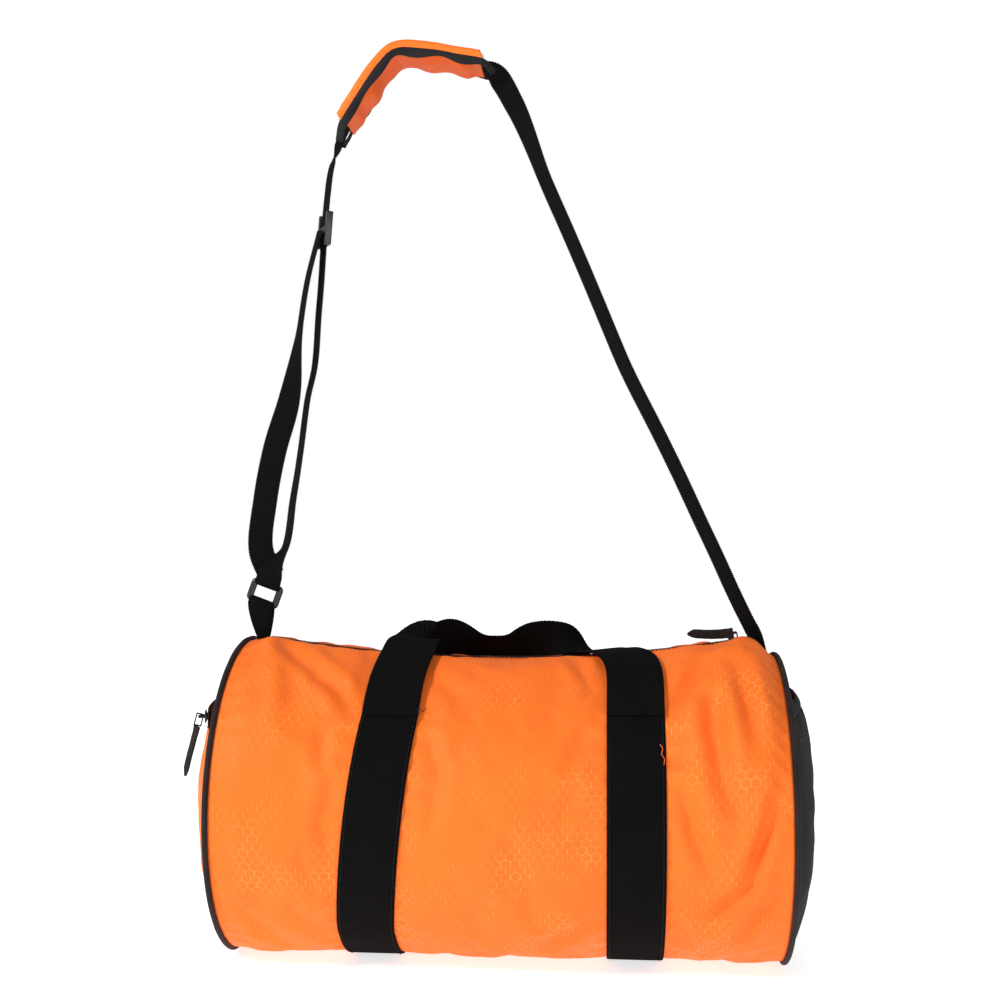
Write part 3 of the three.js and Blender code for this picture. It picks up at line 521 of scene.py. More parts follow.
def ribbed_webbing(name, base, worn):
    """Woven webbing: cross ribs broken into picks, dull black with a few pale lint specks, and painted shade
    and highlight along the ribs.
    """
    graph = Graph(name, Roughness=0.85, Specular_IOR_Level=0.06, Sheen_Weight=0.0)
    uv = graph.uv()
    split = graph.node("ShaderNodeSeparateXYZ", {0: uv})
    across, along = split.outputs[0], split.outputs[1]
    ribs = graph.math("SINE", graph.math("MULTIPLY", along, TAU / RIB_PITCH))
    picks = graph.math("SINE", graph.math("MULTIPLY", across, TAU / (1.1 * MM)))
    weave = graph.math("MULTIPLY", graph.math("ADD", ribs, 1.0), graph.math("ADD", picks, 1.6))
    dust = graph.range(graph.noise(graph.vector("MULTIPLY", uv, (900, 900, 1)), 1.0, 1.0), 0.74, 0.8)
    wear = graph.range(graph.noise(graph.place(), 22, 4.0), 0.35, 0.75)
    colour = graph.blend(wear, base, worn)
    colour = graph.blend(graph.math("MULTIPLY", dust, 0.25), colour, (0.2, 0.2, 0.2, 1))
    # painted shade and highlight: the colour is darker in the weave's troughs and lighter on its crests, and
    # the glint paints pale highlights on the highest crests
    colour = graph.scale(colour, graph.range(weave, 0, 5.2, 0.5, 1.3))
    glint = graph.range(weave, 4.3, 5.1)
    colour = graph.blend(graph.math("MULTIPLY", glint, 0.3), colour, (0.05, 0.05, 0.052, 1))
    graph.fill(graph.shader, {"Base Color": colour, "Roughness": graph.range(wear, 0, 1, 0.78, 0.9),
                              "Normal": graph.bump(weave, 0.16 * MM, 0.6)})
    return graph.material


def woven_tape(name, base):
    graph = Graph(name, Roughness=0.8, Specular_IOR_Level=0.2, Sheen_Weight=0.03)
    place = graph.place()
    fibres = graph.noise(graph.vector("MULTIPLY", place, (1500, 1500, 1500)), 1.0, 2.0)
    mottled = graph.range(graph.noise(place, 40, 3.0), 0.3, 0.7)
    colour = graph.blend(mottled, base, tuple(min(1, c * 1.7) for c in base[:3]) + (1,))
    graph.fill(graph.shader, {"Base Color": colour, "Normal": graph.bump(fibres, 0.12 * MM, 0.6)})
    return graph.material


def moulded_nylon(name, base, roughness):
    graph = Graph(name, Roughness=roughness)
    place = graph.place()
    grain = graph.noise(place, 1400, 2.0)
    scuffs = graph.range(graph.noise(place, 120, 5.0, 0.7), 0.45, 0.8)
    colour = graph.blend(graph.math("MULTIPLY", scuffs, 0.5), base, tuple(c * 2.2 for c in base[:3]) + (1,))
    rough = graph.range(scuffs, 0, 1, roughness, min(1.0, roughness + 0.2))
    normal = graph.bump(grain, 0.03 * MM, 0.5)
    graph.fill(graph.shader, {"Base Color": colour, "Roughness": rough, "Normal": normal})
    return graph.material


def enamelled_metal(name, base):
    graph = Graph(name, Roughness=0.35, Metallic=0.6)
    place = graph.place()
    rubbed = graph.range(graph.noise(place, 260, 4.0, 0.65), 0.55, 0.75)
    colour = graph.blend(graph.math("MULTIPLY", rubbed, 0.6), base, (0.16, 0.16, 0.17, 1))
    graph.fill(graph.shader, {"Base Color": colour, "Roughness": graph.range(rubbed, 0, 1, 0.42, 0.25),
                              "Normal": graph.bump(graph.noise(place, 900, 2.0), 0.03 * MM, 0.4)})
    return graph.material


def open_mesh(name, base):
    """Knitted mesh: hexagonal holes that let the panel behind show."""
    graph = Graph(name, Roughness=0.75, Specular_IOR_Level=0.12, Sheen_Weight=0.0)
    _, _, edge = hex_cells(graph, 2.4 * MM, 1.9 * MM)
    thread = graph.range(edge, 0.14, 0.2)
    fibres = graph.noise(graph.place(), 1800, 2.0)
    colour = graph.blend(graph.range(fibres, 0.3, 0.7), base, (0.014, 0.014, 0.015, 1))
    normal = graph.bump(edge, 0.3 * MM, 0.7)
    graph.fill(graph.shader, {"Base Color": colour, "Alpha": thread, "Normal": normal})
    return graph.material


def soft_foam(name):
    graph = Graph(name, Base_Color=(0.8, 0.77, 0.7, 1), Roughness=0.95)
    cells = graph.node("ShaderNodeTexVoronoi", {"Vector": graph.place(), "Scale": 700}).outputs[0]
    # painted shade: each foam cell is darker towards its middle, where the bump sinks into a pit
    colour = graph.blend(graph.range(cells, 0.0, 0.7), (0.62, 0.58, 0.5, 1), (0.83, 0.8, 0.74, 1))
    graph.fill(graph.shader, {"Base Color": colour, "Normal": graph.bump(cells, 0.3 * MM, 0.8)})
    return graph.material


# The pale thread colour carries painted highlight, and the darker colour serves both random darker tone and
# the painted shadow beside the threads.
ORANGE = honeycomb_nylon(
    "orange_honeycomb",
    base=(0.93, 0.182, 0.024, 1),
    light=(1.0, 0.46, 0.10, 1),
    dark_tone_and_shadow=(0.86, 0.112, 0.010, 1),
)
# painted shade: the same orange honeycomb nylon as the cover, in darker colours because the pad's underside
# faces down into shade
SHADED_LINING = honeycomb_nylon(
    "orange_underside_shaded",
    base=(0.60, 0.09, 0.011, 1),
    light=(0.66, 0.125, 0.018, 1),
    dark_tone_and_shadow=(0.48, 0.055, 0.006, 1),
)
WEB = ribbed_webbing("black_webbing", (0.0032, 0.0031, 0.0034, 1), (0.006, 0.0058, 0.006, 1))
TAPE = woven_tape("black_tape", (0.008, 0.008, 0.009, 1))
PIPING = woven_tape("black_piping", (0.013, 0.009, 0.010, 1))
PULL = woven_tape("black_pull_fabric", (0.009, 0.006, 0.006, 1))
NYLON = moulded_nylon("black_nylon", (0.008, 0.008, 0.009, 1), 0.32)
COIL = moulded_nylon("black_coil", (0.01, 0.01, 0.011, 1), 0.4)
METAL = enamelled_metal("black_metal", (0.012, 0.012, 0.013, 1))
MESH = open_mesh("black_mesh", (0.009, 0.009, 0.0095, 1))
FOAM = soft_foam("pad_foam_cells")
THREAD = woven_tape("black_thread", (0.01, 0.01, 0.011, 1))
ORANGE_THREAD = woven_tape("orange_thread", (0.75, 0.12, 0.015, 1))

# ---------------------------------------------------------------- main panel


def segment_distance(point, a, b):
    """Distance from a point to a segment, and how far along it, in the flattened fabric."""
    ab = (b[0] - a[0], b[1] - a[1])
    t = clamp(((point[0] - a[0]) * ab[0] + (point[1] - a[1]) * ab[1]) / (ab[0] ** 2 + ab[1] ** 2))
    return math.hypot(point[0] - a[0] - ab[0] * t, point[1] - a[1] - ab[1] * t), t


# Folds in the flattened fabric. Each runs through points of (x, distance round from the top seam, front
# positive), with its depth and width in millimetres. Negative depth is a ridge.
FOLD_STRENGTH = 1.3
RIGHT_KNOT = (0.220, 0.020)
LEFT_KNOT = (-0.228, 0.020)
FOLDS = [
    ([(0.243, 0.177), (0.229, 0.216), (0.218, 0.244), (0.210, 0.270)], 9.0, 6.5),
    ([(0.210, 0.270), (0.193, 0.285), (0.174, 0.308)], 4.5, 6.5),
    ([(0.181, 0.108), (0.186, 0.153), (0.191, 0.184), (0.202, 0.212)], 6.5, 8),
    ([(0.158, 0.190), (0.165, 0.220), (0.178, 0.258)], 5.5, 7),
    ([(0.143, 0.171), (0.166, 0.154)], 3.6, 5),
    ([(0.206, 0.070), (0.214, 0.122), (0.222, 0.160)], 5.5, 8),
    ([(0.183, 0.062), (0.160, 0.092), (0.143, 0.116)], 5.0, 8),
    ([(0.222, 0.190), (0.198, 0.206)], 3.0, 5),
    ([(0.236, 0.276), (0.206, 0.316)], 3.5, 7),
    ([RIGHT_KNOT, (0.196, 0.058), (0.170, 0.128)], -3.0, 9),
    ([RIGHT_KNOT, (0.200, 0.100), (0.205, 0.150)], -3.0, 8),
    ([(-0.206, 0.040), (-0.166, 0.079), (-0.146, 0.094), (-0.130, 0.116)], 5.0, 8),
    ([(-0.153, 0.142), (-0.151, 0.168)], 3.0, 6),
    ([(-0.224, 0.046), (-0.236, 0.092)], 3.2, 6),
    ([LEFT_KNOT, (-0.206, 0.078), (-0.196, 0.130)], -3.2, 10),
    ([(-0.140, 0.180), (-0.148, 0.222), (-0.142, 0.260)], 2.6, 7),
    ([(-0.176, 0.300), (-0.150, 0.344)], 2.2, 9),
    ([(-0.226, 0.310), (-0.190, 0.352)], 2.6, 9),
    ([(-0.066, 0.068), (-0.030, 0.100)], 3.0, 9),
    ([(-0.064, 0.126), (-0.050, 0.170), (-0.056, 0.220)], 2.4, 7),
    ([(0.066, 0.034), (0.080, 0.088)], 3.4, 8),
    ([(0.084, 0.120), (0.060, 0.160)], 2.2, 7),
    ([(-0.058, 0.236), (0.010, 0.230)], 1.8, 7),
    ([(0.085, 0.300), (0.030, 0.344)], 2.6, 9),
    ([RIGHT_KNOT, (0.196, -0.070), (0.172, -0.125)], 4.4, 9),
    ([LEFT_KNOT, (-0.196, -0.080), (-0.165, -0.145)], 4.4, 9),
    ([(0.238, -0.180), (0.214, -0.240), (0.190, -0.290)], 6.0, 8),
    ([(-0.230, -0.170), (-0.205, -0.240), (-0.190, -0.270)], 4.2, 8),
    ([(0.164, -0.160), (0.186, -0.220)], -3.6, 9),
    ([(-0.050, -0.130), (-0.010, -0.200), (-0.020, -0.260)], 3.2, 10),
    ([(0.070, -0.120), (0.040, -0.190)], 3.0, 9),
]


def fold_depth(x, around):
    """How far the folds push the fabric in here: a valley with a low shoulder on each side."""
    total = 0.0
    for path, depth, width in FOLDS:
        best = None
        for n, (a, b) in enumerate(zip(path, path[1:])):
            distance, t = segment_distance((x, around), a, b)
            if best is None or distance < best[0]:
                best = (distance, (n + t) / (len(path) - 1))
        distance, t = best
        if distance > 5 * width * MM:
            continue
        taper = math.sin(math.pi * clamp(0.1 + 0.82 * t)) ** 0.7
        spread = distance / (width * MM)
        shape = math.exp(-(spread**1.5)) - 0.38 * math.exp(-(((spread - 1.9) / 0.9) ** 2))
        total += FOLD_STRENGTH * depth * MM * taper * shape
    return total


def band_gap(x, angle):
    """Distance from the nearer stitched band's edge, negative under the band."""
    gap = beside_band(x, angle)
    above = max(0.0, STITCH_ANGLE - from_top(angle)) * RADIUS
    return math.hypot(max(gap, 0.0), above) if above > 0 else gap


PANEL_COLUMNS = 112
PANEL_ROWS = 196


def around_from_top(angle):
    """Distance round the fabric from the zip, positive on the front and negative on the back."""
    return RADIUS * angle if angle <= math.pi else -RADIUS * (TAU - angle)


def under_leg(x, angle):
    """1 where the fabric lies under a handle's leg above the stitched band, fading to 0 round it."""
    if from_top(angle) > STITCH_ANGLE:
        return 0.0
    beside = 1 - ease(beside_band(x, angle) / 0.016)
    return beside * ease((from_top(angle) - math.radians(6)) / math.radians(12))


def panel_point(x, angle):
    gap = band_gap(x, angle)
    held = clamp(gap / 0.012) * (1 - under_leg(x, angle))
    end_gap = PANEL_END - abs(x)
    seam = ease(end_gap / 0.030)
    edge = from_top(angle) - SLOT_ANGLE
    free = ease(edge * RADIUS / 0.022)
    on_floor = ease((abs(angle - math.pi) * RADIUS - 0.045) / 0.04)
    around = around_from_top(angle)
    pucker = 0.0
    if 0 < gap < 0.05 and from_top(angle) > STITCH_ANGLE - 0.1:
        wave = math.sin(TAU * around / 0.021 + 2.2 * speckle((x * 3, around * 9, 0), 9, 3))
        pucker = 0.0015 * wave * math.exp(-gap / 0.011)
    end_wave = math.sin(TAU * around / 0.019 + 1.3)
    end_pucker = 0.0009 * end_wave * math.exp(-end_gap / 0.014) * ease(end_gap / 0.006)
    belly = 0.0035 * math.sin(math.pi * clamp(gap / 0.16)) if gap > 0 else 0.0
    crumple = 0.0024 * speckle((x, around, 0), 22, 5) + 0.0009 * speckle((x, around, 0), 70, 9)
    raised = (belly + crumple - fold_depth(x, around)) * held * seam * free * on_floor
    raised += (pucker + end_pucker) * free * on_floor * (1 - under_leg(x, angle))
    raised -= 0.0012 * under_leg(x, angle) * seam
    raised -= 0.0006 if gap <= 0 else 0.0
    drop, reach = (0.0020, 0.025) if angle < math.pi else (0.0065, 0.075)
    raised -= drop * (1 - ease(edge * RADIUS / reach)) * seam
    return skin(x, angle, raised)


def slacken(obj, pins, originals, cap, frames=18):
    """Lets the fabric settle as cloth, held where it is sewn, and caps how far it may move."""
    group = obj.vertex_groups.new(name="sewn")
    for weight in (1.0, 0.6, 0.25):
        chosen = [i for i, pin in enumerate(pins) if abs(pin - weight) < 0.01]
        if chosen:
            group.add(chosen, weight, "REPLACE")
    cloth = obj.modifiers.new("Cloth", "CLOTH")
    settings = cloth.settings
    settings.quality = 6
    settings.mass = 0.18
    settings.tension_stiffness = 30
    settings.compression_stiffness = 30
    settings.shear_stiffness = 12
    settings.bending_stiffness = 2.0
    settings.vertex_group_mass = "sewn"
    settings.shrink_min = -0.012
    settings.use_pressure = True
    settings.uniform_pressure_force = 0.5
    settings.effector_weights.gravity = 0.0
    cloth.point_cache.frame_start = 1
    cloth.point_cache.frame_end = frames
    scene = bpy.context.scene
    for step in range(1, frames + 1):
        scene.frame_set(step)
    bake_modifiers(obj)
    scene.frame_set(1)
    for vertex, start in zip(obj.data.vertices, originals):
        moved = vertex.co - start
        most = cap * (0.2 if start.y > 0 and start.z > REAR_TOP_Z else 1.0)
        if moved.length > most:
            vertex.co = start + moved * (most / moved.length)


def main_panel():
    xs = np.linspace(-PANEL_END, PANEL_END, PANEL_COLUMNS + 1)
    angles = np.linspace(SLOT_ANGLE, TAU - SLOT_ANGLE, PANEL_ROWS + 1)
    vertices, uvs, pins = [], [], []
    for angle in angles:
        for x in xs:
            vertices.append(panel_point(x, angle))
            uvs.append((x, RADIUS * angle))
            gap = band_gap(x, angle)
            sewn = PANEL_END - abs(x) < 0.006 or from_top(angle) - SLOT_ANGLE < 0.02
            on_floor = abs(angle - math.pi) * RADIUS < 0.05
            held = sewn or gap < 0.001 or on_floor or under_leg(x, angle) > 0.3
            pins.append(1.0 if held else 0.25 if gap < 0.01 else 0.0)
    wide = PANEL_COLUMNS + 1
    faces = [
        (r * wide + c, r * wide + c + 1, (r + 1) * wide + c + 1, (r + 1) * wide + c)
        for r in range(PANEL_ROWS)
        for c in range(PANEL_COLUMNS)
    ]
    panel = make_object("main_panel_fabric", vertices, faces, ORANGE, uvs)
    slacken(panel, pins, vertices, cap=0.006)
    smooth = panel.modifiers.new("Subdivision", "SUBSURF")
    smooth.levels = smooth.render_levels = 1
    shell = panel.modifiers.new("Thickness", "SOLIDIFY")
    shell.thickness = 0.9 * MM
    shell.offset = -1
    bake_modifiers(panel)
    stand_in(panel, "main_panel", "bag")


main_panel()

# ---------------------------------------------------------------- ends


RIM_INSET = 2.6 * MM
DOME_POWER = 3.5


def end_rim(side, steps):
    """Points round the seam of an end sheet, just inside the barrel's own skin."""
    return [skin(side * HALF_LENGTH, TAU * k / steps, -RIM_INSET) for k in range(steps)]


def end_disc(name, side, stand_off, depth, material, z_limit=None, wrinkle=1.0, thickness=0.8 * MM):
    """A domed end sheet. z_limit keeps only the part below that height."""
    steps, rings = 96, 26
    middle = Vector((side * HALF_LENGTH, 0, AXIS_Z))
    rim = end_rim(side, steps)
    vertices, faces = [], []

    def point(direction, fraction):
        flat = middle.lerp(rim[direction], fraction)
        bulge = stand_off + depth * (1 - fraction**DOME_POWER)
        radial = math.atan2(flat.y, flat.z - AXIS_Z)
        wave = math.sin(34 * radial + 2 * speckle(flat, 20, side))
        edge_pleat = 0.9 * MM * wave * fraction**6 * (1 - fraction**20)
        crumple = 2.6 * MM * speckle(flat, 17, 4 + side) + 1.1 * MM * speckle(flat, 48, 7)
        bulge += wrinkle * (edge_pleat + crumple * (1 - fraction**8))
        return flat + Vector((side * bulge, 0, 0))

    for k in range(rings):
        fraction = 1 - k / rings
        for d in range(steps):
            vertices.append(point(d, fraction))
    vertices.append(point(0, 0.0))
    last = len(vertices) - 1
    for k in range(rings - 1):
        for d in range(steps):
            e = (d + 1) % steps
            faces.append((k * steps + d, k * steps + e, (k + 1) * steps + e, (k + 1) * steps + d))
    for d in range(steps):
        faces.append(((rings - 1) * steps + d, (rings - 1) * steps + (d + 1) % steps, last))
    uvs = [(side * v.y, v.z) for v in vertices]
    obj = make_object(name, vertices, faces, material, uvs)
    if z_limit is not None:
        shape = bmesh.new()
        shape.from_mesh(obj.data)
        bmesh.ops.bisect_plane(
            shape, geom=shape.verts[:] + shape.edges[:] + shape.faces[:],
            plane_co=(0, 0, z_limit), plane_no=(0, 0, 1), clear_outer=True,
        )
        shape.to_mesh(obj.data)
        shape.free()
    outward = sum(((p.normal.x * side > 0) for p in obj.data.polygons)) > len(obj.data.polygons) / 2
    shell = obj.modifiers.new("Thickness", "SOLIDIFY")
    shell.thickness = thickness
    shell.offset = -1 if outward else 1
    bake_modifiers(obj)
    return obj


PANEL_OFF = -1.2 * MM
POCKET_OFF = 1.4 * MM
END_DOME = 0.0205
POCKET_DOME = 0.0265
POCKET_TOP_Z = 0.2135
MESH_TOP_Z = 0.229


def ends():
    for side, name in ((-1, "left_end_panel"), (1, "right_end_panel")):
        disc = end_disc(f"{name}_fabric", side, PANEL_OFF, END_DOME, ORANGE, wrinkle=0.5)
        stand_in(disc, name, "bag")
    pocket = end_disc("end_pocket_fabric", -1, POCKET_OFF, POCKET_DOME, ORANGE, z_limit=POCKET_TOP_Z)
    stand_in(pocket, "end_pocket_panel", "bag")
    mesh = end_disc(
        "mesh_pocket_net", 1, POCKET_OFF, POCKET_DOME, MESH, z_limit=MESH_TOP_Z, thickness=0.5 * MM
    )
    stand_in(mesh, "mesh_pocket", "bag")


ends()


PIPING_RADIUS = 2.6 * MM


def piping(side, name):
    steps = 240
    points = []
    for k in range(steps):
        angle = TAU * k / steps
        ripple = 0.35 * MM * speckle((side, math.sin(angle) * 3, math.cos(angle) * 3), 3, 2)
        points.append(skin(side * (HALF_LENGTH + 1 * MM), angle, 0.6 * MM + ripple))
    middle = Vector((side * HALF_LENGTH, 0, AXIS_Z))
    vertices, faces = tube(points, PIPING_RADIUS, sides=12, closed=True, up=lambda i: points[i] - middle)
    cord = make_object(name + "_cord", vertices, faces, PIPING)
    stand_in(cord, name, "bag")


piping(-1, "left_piping")
piping(1, "right_piping")

# ---------------------------------------------------------------- webbing bands and handles


STITCH_HEIGHT = 2.35 * MM


def band(side, name):
    count = 72
    angles = [mix(STITCH_ANGLE, TAU - STITCH_ANGLE, k / count) for k in range(count + 1)]
    points = [skin(band_x(side, a), a, 1.3 * MM) for a in angles]
    stations = strip_frames(points, lambda s: Vector((1, 0, 0)))
    web = strip_object(name + "_webbing", stations, BAND_WIDTH, WEB, columns=10)
    stand_in(web, name, "bag")

    def seam_point(x, a):
        return skin(x, a, STITCH_HEIGHT), skin_normal(x, a)

    lines = []
    for edge in (-1, 1):
        for start, stop in ((STITCH_ANGLE, math.pi - 0.3), (math.pi + 0.3, TAU - STITCH_ANGLE)):
            line = []
            for k in range(60):
                a = mix(start, stop, k / 59)
                line.append(seam_point(band_x(side, a) + edge * (BAND_WIDTH / 2 - 2.5 * MM), a))
            lines.append(line)
    for top in (STITCH_ANGLE, TAU - STITCH_ANGLE):
        for inset in (0.012, 0.030):
            a = top + (inset if top < math.pi else -inset)
            x = band_x(side, a)
            span = BAND_WIDTH / 2 - 3 * MM
            places = [skin(x + mix(-span, span, k / 12), a, STITCH_HEIGHT) for k in range(13)]
            lines.append([(place, skin_normal(x, a)) for place in places])
    stitches(name + "_stitching", lines, "bag", THREAD)


band(-1, "left_band")
band(1, "right_band")

LEG_LEFT = (1, 0, 0)
LEG_RIGHT = (-1, 0, 0)
HANDLE_CLEARANCE = 2.6 * MM
REAR_CLEARANCE = -3.2 * MM  # the fabric behind the zip hangs slack


def off_the_fabric(point):
    """How far a point of a handle has to move out to lie on the barrel and not in it."""
    height = point.z * NOMINAL_HEIGHT / ridge_height(point.x) - AXIS_Z
    behind_zip = ease(point.y / 0.015) * ease((0.1 - point.y) / 0.03)
    clearance = mix(HANDLE_CLEARANCE, REAR_CLEARANCE, behind_zip)
    sunk = RADIUS + clearance - math.hypot(point.y, height)
    if sunk <= 0:
        return Vector((0, 0, 0))
    return skin_normal(point.x, math.atan2(-point.y, height)) * sunk


def handle(name, points, across):
    """A handle's webbing, bending between its stitched foot and the part that swings free."""
    stations = strip_frames(points, turning(across))
    web = strip_object(name + "_webbing", stations, BAND_WIDTH, WEB, columns=10, push=off_the_fabric)
    stand_in(web, name)
    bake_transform(web)


def front_handle():
    points = [
        skin(LEFT_BAND_TOP_X, STITCH_ANGLE + 0.045, 3.2 * MM),
        skin(LEFT_BAND_TOP_X, STITCH_ANGLE - 0.02, 3.2 * MM),
        skin(LEFT_BAND_TOP_X + 0.001, math.radians(30), 4.5 * MM),
        skin(LEFT_BAND_TOP_X + 0.004, math.radians(14), 7 * MM),
        Vector((-0.087, -0.006, 0.2855)),
        Vector((-0.078, 0.022, 0.2745)),
        Vector((-0.064, 0.042, 0.2775)),
        Vector((-0.034, 0.056, 0.2695)),
        Vector((0.002, 0.060, 0.2695)),
        Vector((0.035, 0.050, 0.2760)),
        Vector((0.062, 0.032, 0.2670)),
        Vector((0.088, 0.006, 0.2745)),
        skin(RIGHT_BAND_X - 0.008, math.radians(13), 4 * MM),
        skin(RIGHT_BAND_X - 0.001, math.radians(24), 4 * MM),
        skin(RIGHT_BAND_X, STITCH_ANGLE - 0.02, 3.2 * MM),
        skin(RIGHT_BAND_X, STITCH_ANGLE + 0.045, 3.2 * MM),
    ]
    on_edge = (0, 0.8, -0.6)
    steep = (0, 0.5, -0.87)
    over_ridge = (-0.78, -0.6, -0.1)
    across = [
        (0, LEG_LEFT), (0.235, LEG_LEFT),
        (0.31, steep), (0.36, steep),
        (0.45, on_edge), (0.48, on_edge),
        (0.565, steep), (0.655, over_ridge),
        (0.8, LEG_RIGHT), (1, LEG_RIGHT),
    ]
    handle("front_handle", points, across)


def rear_handle():
    def down(x, degrees, raised):
        return skin(x, -math.radians(degrees), raised * MM)

    left, right = LEFT_BAND_TOP_X, RIGHT_BAND_X
    points = [
        down(left, 44.5, 2.9), down(left, 52, 8), down(left, 60, 10), down(left + 0.004, 74, 11),
        down(left + 0.024, 86, 12), down(-0.030, 90, 12), down(0.050, 90, 12),
        down(right - 0.024, 86, 12), down(right - 0.004, 74, 11), down(right, 60, 10),
        down(right, 52, 9), down(right, 44.5, 2.9),
    ]
    upright = (0, 0.25, 1)
    across = [
        (0, LEG_LEFT), (0.2, LEG_LEFT),
        (0.42, upright), (0.58, upright),
        (0.8, LEG_RIGHT), (1, LEG_RIGHT),
    ]
    handle("rear_handle", points, across)


front_handle()
rear_handle()


def stray_threads():
    """A cut tail of black thread at the left leg's bar tack, and a scrap of orange one by the right leg."""
    left = LEFT_BAND_TOP_X + BAND_WIDTH / 2
    loose = ((-3, 0.004, 4.4), (0.5, -0.010, 5.4), (3.5, 0.006, 4.6), (6.5, -0.016, 4.2))
    tail = [skin(left + dx * MM, STITCH_ANGLE + turn, out * MM) for dx, turn, out in loose]
    right = RIGHT_BAND_X + BAND_WIDTH / 2
    curled = ((-5, 59, 3.4), (-3, 60.5, 4.4), (-3.8, 62.5, 4.2), (-1.6, 64, 4.0), (-2, 66, 3.2))
    scrap = [skin(right + dx * MM, math.radians(angle), out * MM) for dx, angle, out in curled]
    for name, curve, material in (
        ("black_thread_tail", tail, THREAD),
        ("orange_thread_scrap", scrap, ORANGE_THREAD),
    ):
        smooth, _ = catmull(curve, 24)
        points = [Vector(p) for p in smooth]
        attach(join_meshes(name, [tube(points, 0.3 * MM, sides=6)], material), "bag")


stray_threads()

# ---------------------------------------------------------------- main zip


ZIP_TAPE_HALF = 0.2465
ZIP_COIL_HALF = 0.244
TOPSTITCH_HALF = 0.243


def zip_tapes():
    xs = np.linspace(-ZIP_TAPE_HALF, ZIP_TAPE_HALF, 160)
    for name, side in (("zip_tape_front", -1), ("zip_tape_rear", 1)):
        outer, inner = [], []
        for x in xs:
            top = ridge_height(x)
            ripple = 0.15 * MM * speckle((x, side, 0), 90)
            line = [(3.05, 1.8), (5.0, 3.1), (8.0, 4.0), (14.0, 5.6)]
            outer.append([Vector((x, side * y * MM, top - drop * MM + ripple)) for y, drop in line])
            inner.append([Vector((x, side * y * MM, top - (drop + 0.7) * MM + ripple)) for y, drop in line])
        tape = sheet_object(name + "_woven", outer, inner, TAPE)
        stand_in(tape, name, "bag")


def zip_coil(name, place, count, side):
    """Nylon coil: one small bent loop per tooth, half a pitch out of step with the other side."""
    pieces = []
    for n in range(count):
        centre, along, over, out = place(n + (0.5 if side > 0 else 0.0))
        loop = [(2.9, -0.9), (1.5, -1.1), (0.1, -0.6), (-0.35, 0.0), (0.1, 0.6), (1.5, 1.1), (2.9, 0.9)]
        curve = [centre + over * (side * y * MM) + out * (z * MM) + along * (0.18 * MM * z) for y, z in loop]
        pieces.append(tube(curve, 0.42 * MM, sides=5, up=lambda i, a=along: a))
    coil = join_meshes(name + "_loops", pieces, COIL)
    stand_in(coil, name, "bag")


def main_zip():
    zip_tapes()
    count = int(2 * ZIP_COIL_HALF / COIL_PITCH)

    def place(n):
        x = -ZIP_COIL_HALF + n * COIL_PITCH
        slope = (ridge_height(x + 0.001) - ridge_height(x - 0.001)) / 0.002
        along = Vector((1, 0, slope)).normalized()
        over = Vector((0, 1, 0))
        return Vector((x, 0, ridge_height(x) - 1.7 * MM)), along, over, Vector((-slope, 0, 1)).normalized()

    zip_coil("zip_coil_front", place, count, -1)
    zip_coil("zip_coil_rear", place, count, 1)


main_zip()

# ---------------------------------------------------------------- hard parts, from the frame's own shapes


def restyle(name, material):
    for holder in frame["nodes"][name].material_slots:
        holder.material = material


def rounded_copy(name, bevel, material, body):
    """The frame's own shape with its edges rounded over."""
    node = frame["nodes"][name]
    copy = bpy.data.objects.new(name + "_rounded", node.data.copy())
    bpy.context.collection.objects.link(copy)
    copy.data.transform(node.matrix_world)
    shape = bmesh.new()
    shape.from_mesh(copy.data)
    bmesh.ops.remove_doubles(shape, verts=shape.verts, dist=1e-6)
    bmesh.ops.dissolve_limit(shape, angle_limit=0.02, verts=shape.verts, edges=shape.edges)
    shape.to_mesh(copy.data)
    shape.free()
    rounding = copy.modifiers.new("Bevel", "BEVEL")
    rounding.width = bevel
    rounding.segments = 3
    rounding.limit_method = "ANGLE"
    rounding.angle_limit = math.radians(35)
    bake_modifiers(copy)
    copy.data.materials.clear()
    copy.data.materials.append(material)
    copy.data.polygons.foreach_set("use_smooth", [True] * len(copy.data.polygons))
    stand_in(copy, name, body)


def ring():
    """The rectangular ring: rounded corners, side bars thicker than the two that webbing passes round."""
    half_width, half_height, corner = 13.0 * MM, BAR_REACH, 3.2 * MM
    points, bars = [], []
    for quarter in range(4):
        sx, sz = ((1, 1), (-1, 1), (-1, -1), (1, -1))[quarter]
        for k in range(7):
            turn = math.pi / 2 * (quarter + k / 6)
            x = sx * (half_width - corner) + corner * math.cos(turn)
            z = sz * (half_height - corner) + corner * math.sin(turn)
            points.append(RING_CENTRE + RING_ACROSS * x + RING_UP * z)
            bars.append(mix(1.9, 3.3, ease((abs(x) - (half_width - corner)) / corner)) * MM)

    def thickness(fraction):
        return bars[round(fraction * (len(bars) - 1))]

    vertices, faces = tube(points, thickness, sides=16, closed=True, squashed=0.6, up=lambda i: (0, 1, 0))
    loop = make_object("strap_ring_loop", vertices, faces, NYLON)
    stand_in(loop, "strap_ring", "strap")


for place in ("zip", "pocket"):
    rounded_copy(f"{place}_slider", 0.35 * MM, METAL, f"{place}_runner")
    rounded_copy(f"{place}_pull_link", 0.4 * MM, METAL, f"{place}_pull")
rounded_copy("strap_adjuster", 0.7 * MM, NYLON, "adjuster")
ring()
for tape_name in ("left_seam_tape", "right_seam_tape"):
    restyle(tape_name, TAPE)
restyle("pad_foam", FOAM)

# ---------------------------------------------------------------- pull tabs

TAB_LENGTH = 0.046
TAB_HALF_WIDTH = 0.0046
PARKED_SLIDER_X = 0.212


